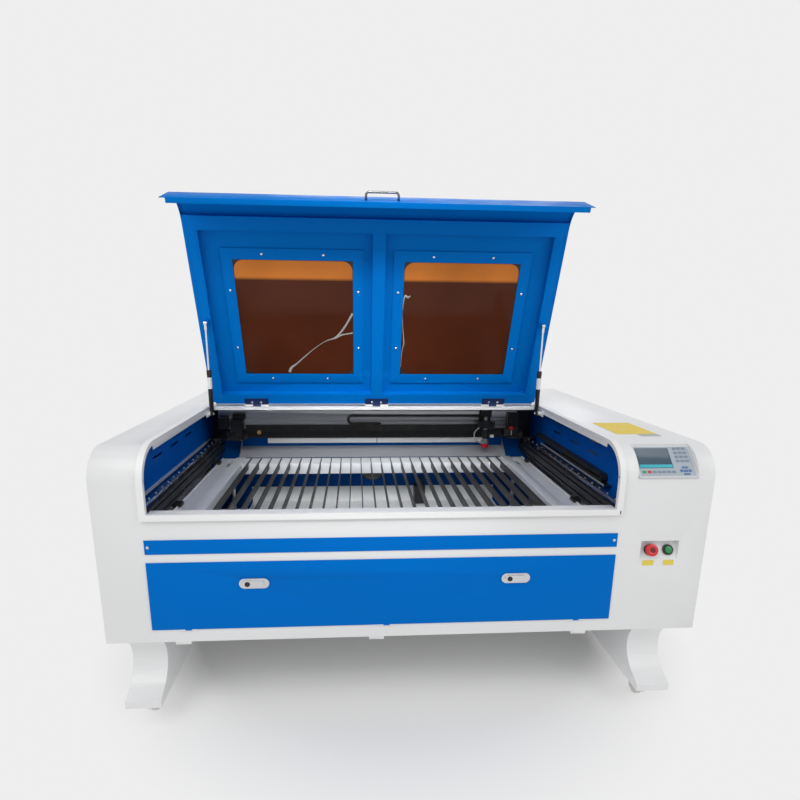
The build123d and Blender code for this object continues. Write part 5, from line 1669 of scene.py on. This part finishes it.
@dataclass(frozen=True)
class CabinetDress:
    """The cabinet: its white sheets, stands, casters, louvre hoods, latch and drain slot."""

    stand_middles: Span = (-838.0, 810.0)
    pivots: Span = (-690.0, 690.0)
    race_radius: float = 17.0
    race_levels: Span = (66.0, 75.0)
    axle_radius: float = 6.0
    axle_half: float = 18.0
    axle_trail: float = 18.0
    axle_level: float = 29.0
    louvre_rows: int = 8
    louvre_pitch: float = 24.0
    louvre_way: float = 1027.5
    latch_radius: float = 15.0

    @staticmethod
    def skins() -> None:
        """Round the folded edges of the white sheets."""
        for node in ("left_housing", "right_housing", "front_wall", "rear_wall", "hinge_crossbar"):
            softened(node, "white_sheet", "machine", 1.0 if "housing" in node else 0.6)
        softened("opening_lip", "lip_white", "machine", 1.2)
        softened("stands", "stand_sheet", "machine", 1.2)
        softened("service_door", "white_sheet", "service_door", 0.6)
        softened("rear_cover", "white_sheet", "rear_cover", 0.6)

    def casters(self) -> None:
        """Model each caster's swivel race and axle bolt, and round its wheel."""
        for row, y in zip(("front", "rear"), self.pivots):
            for side, x in zip(("left", "right"), self.stand_middles):
                body = f"{row}_{side}_caster"
                low, high = ((x, y, level) for level in self.race_levels)
                race = drum(f"{body}_race", self.race_radius, low, high)
                finish_piece(dished(race, Side.UNDER, (3, 2), (4, -1)), "zinc", body, 0.6)
                start, end = ((x + way * self.axle_half, y + self.axle_trail, self.axle_level)
                              for way in BOTH_WAYS)
                bolt = drum(f"{body}_bolt", self.axle_radius, start, end, 6)
                finish_piece(both_dished(bolt, Axis.X, (1.2, 0.8)), "zinc", body, 0.3)
                softened(f"{body}_wheel", "pale_nylon", f"{body}_wheel", 0.8)

    def louvres(self) -> None:
        """Press a small hood over each louvre slot of the rear wall."""
        hood = block("hood", (-698.5, 725.0, 357), (-478.5, 730.5, 367))
        with Shaping(hood) as shape:
            shape.side(Side.REAR).grow((0.96, 1, 0.45), (-588.5, 730.5, 358))
        rows = copies(hood, [(way, 0, self.louvre_pitch * row) for way in (0, self.louvre_way)
                             for row in range(self.louvre_rows) if way or row])
        finish_piece(joined(rows, "rear_louvres"), "white_sheet", "machine", 0.8)

    def latch(self) -> None:
        """Model the service door's round latch."""
        knob = drum("service_latch", self.latch_radius, (947.6, -520, 545), (953.5, -520, 545), 36)
        finish_piece(dished(knob, Side.RIGHT, (3, -1.2), (4, 1.0)), "black_plastic", "service_door", 0.6)

    @staticmethod
    def corner_slot() -> None:
        """Show the small drain slot at the lip's lower right corner as a thin dark inlay."""
        slot = plate("lip_slot", (650, -737.6, 690), (653, -736.9, 702), (1.2, 3), Side.FRONT)
        finish_piece(slot, "black_plastic", "machine", 0)

    def build(self) -> None:
        """Build every piece on the cabinet."""
        self.skins()
        self.casters()
        self.louvres()
        self.latch()
        self.corner_slot()


@dataclass(frozen=True)
class Lamp:
    """One soft square lamp that faces a point, with its spread in degrees."""

    name: str
    place: Point
    aim: Point
    size: float
    power: float
    spread: float

    def hang(self) -> None:
        """Hang the lamp in its place."""
        data = bpy.data.lights.new(self.name, "AREA")
        data.size = self.size
        data.energy = self.power
        data.spread = math.radians(self.spread)
        item = bpy.data.objects.new(self.name, data)
        bpy.context.scene.collection.objects.link(item)
        item.location = self.place
        item.rotation_euler = (Vector(self.aim) - Vector(self.place)).to_track_quat("-Z", "Y").to_euler()


@dataclass(frozen=True)
class Studio:
    """The plain floor, the soft lamps and the camera at the photograph's angle."""

    picture: int = 800
    focal: float = 539.3
    centre: tuple[float, float] = (390.57, 446.03)
    place: tuple[float, float, float] = (-0.1695, -2.2728, 1.277)
    yaw: float = 0.0658
    pitch: float = 0.2326
    roll: float = 0.0101
    sensor: float = 36.0
    floor_size: float = 40.0
    floor_colour: Colour = (0.9, 0.9, 0.9)
    floor_fade: Span = (0.85, 1.25)
    room_light: float = 0.52
    backdrop: float = 0.86
    lamps: tuple[Lamp, ...] = (
        Lamp("key", (-2.6, -3.2, 4.2), (0, 0, 0.7), 3.0, 84.0, 180.0),
        Lamp("fill", (3.4, -2.6, 3.2), (0, 0, 0.7), 3.0, 46.0, 180.0),
        Lamp("chamber", (-0.1, -2.2, 2.6), (-0.1, 0.12, 0.75), 0.6, 2.5, 34.0),
        Lamp("rear", (0.5, 3.6, 3.6), (0, 0, 0.8), 3.0, 50.0, 180.0),
    )

    def camera(self) -> None:
        """Set the camera that the photograph was taken with."""
        data = bpy.data.cameras.new("camera")
        data.sensor_width = self.sensor
        data.lens = self.focal * self.sensor / self.picture
        half = self.picture / 2
        data.shift_x = (half - self.centre[0]) / self.picture
        data.shift_y = (self.centre[1] - half) / self.picture
        data.clip_end = 60
        item = bpy.data.objects.new("camera", data)
        bpy.context.scene.collection.objects.link(item)
        sy, cy = math.sin(self.yaw), math.cos(self.yaw)
        sp, cp = math.sin(self.pitch), math.cos(self.pitch)
        ahead = Vector((sy * cp, cy * cp, -sp))
        level = Vector((cy, -sy, 0))
        upright = level.cross(ahead)
        right = level * math.cos(self.roll) + upright * math.sin(self.roll)
        above = right.cross(ahead)
        turn = Matrix((right, above, -ahead)).transposed()
        item.matrix_world = Matrix.Translation(self.place) @ turn.to_4x4()
        bpy.context.scene.camera = item

    def floor(self) -> None:
        """Lay the floor, which fades into the backdrop's even tone away from the machine."""
        clear_selection()
        bpy.ops.mesh.primitive_plane_add(size=self.floor_size, location=ORIGIN)
        item = bpy.context.active_object
        item.name = "floor"
        material = bpy.data.materials.new("floor")
        material.use_nodes = True
        graph = Graph(material.node_tree)
        place = graph.add("ShaderNodeTexCoord").outputs["Object"]
        cloud = graph.span(graph.noise(place, 0.7, 3.0), (0.3, 0.7), (0.98, 1.01))
        tone = graph.add("ShaderNodeHueSaturation", Color=(*self.floor_colour, 1.0), Value=cloud).outputs[0]
        shader = graph.add("ShaderNodeBsdfPrincipled", Base_Color=tone, Roughness=0.9)
        far = graph.add("ShaderNodeVectorMath", operation="LENGTH", Vector=place)
        glow = graph.add("ShaderNodeEmission", Color=(1, 1, 1, 1), Strength=self.backdrop)
        both = graph.add("ShaderNodeMixShader")
        graph.link(graph.span(far.outputs["Value"], self.floor_fade), both.inputs[0])
        graph.link(shader.outputs[0], both.inputs[1])
        graph.link(glow.outputs[0], both.inputs[2])
        graph.link(both.outputs[0], graph.add("ShaderNodeOutputMaterial").inputs[0])
        item.data.materials.append(material)

    def world(self) -> None:
        """Fill the room with plain light and show a pale backdrop."""
        world = bpy.data.worlds.new("room")
        bpy.context.scene.world = world
        world.use_nodes = True
        graph = Graph(world.node_tree)
        fill = graph.add("ShaderNodeBackground", Color=(1, 1, 1, 1), Strength=self.room_light)
        shown = graph.add("ShaderNodeBackground", Color=(1, 1, 1, 1), Strength=self.backdrop)
        path = graph.add("ShaderNodeLightPath")
        seen = graph.math("MAXIMUM", path.outputs["Is Camera Ray"], path.outputs["Is Transmission Ray"])
        seen = graph.math("MAXIMUM", seen, path.outputs["Is Glossy Ray"])
        both = graph.add("ShaderNodeMixShader")
        graph.link(seen, both.inputs[0])
        graph.link(fill.outputs[0], both.inputs[1])
        graph.link(shown.outputs[0], both.inputs[2])
        graph.link(both.outputs[0], graph.add("ShaderNodeOutputWorld").inputs[0])

    def build(self) -> None:
        """Set up the whole studio."""
        self.camera()
        self.floor()
        self.world()
        for lamp in self.lamps:
            lamp.hang()
        bpy.context.scene.view_settings.view_transform = "Standard"
        LOG.info("studio set")


def main() -> None:
    """Build the machine's looks in order, from the finishes to the studio."""
    logging.basicConfig(level=logging.INFO, format="%(name)s: %(message)s")
    dress_nodes()
    struts = [StrutDress(side, *((x, *pivot) for pivot in STRUT_PIVOTS)) for side, x in STRUTS.items()]
    dresses = [LidDress(), *struts, FrontDress(), PanelDress(), ButtonDress(), GantryDress(), ChamberDress(),
               TableDress(), CabinetDress()]
    for dress in [*dresses, Studio()]:
        dress.build()


if __name__ == "__main__":
    main()
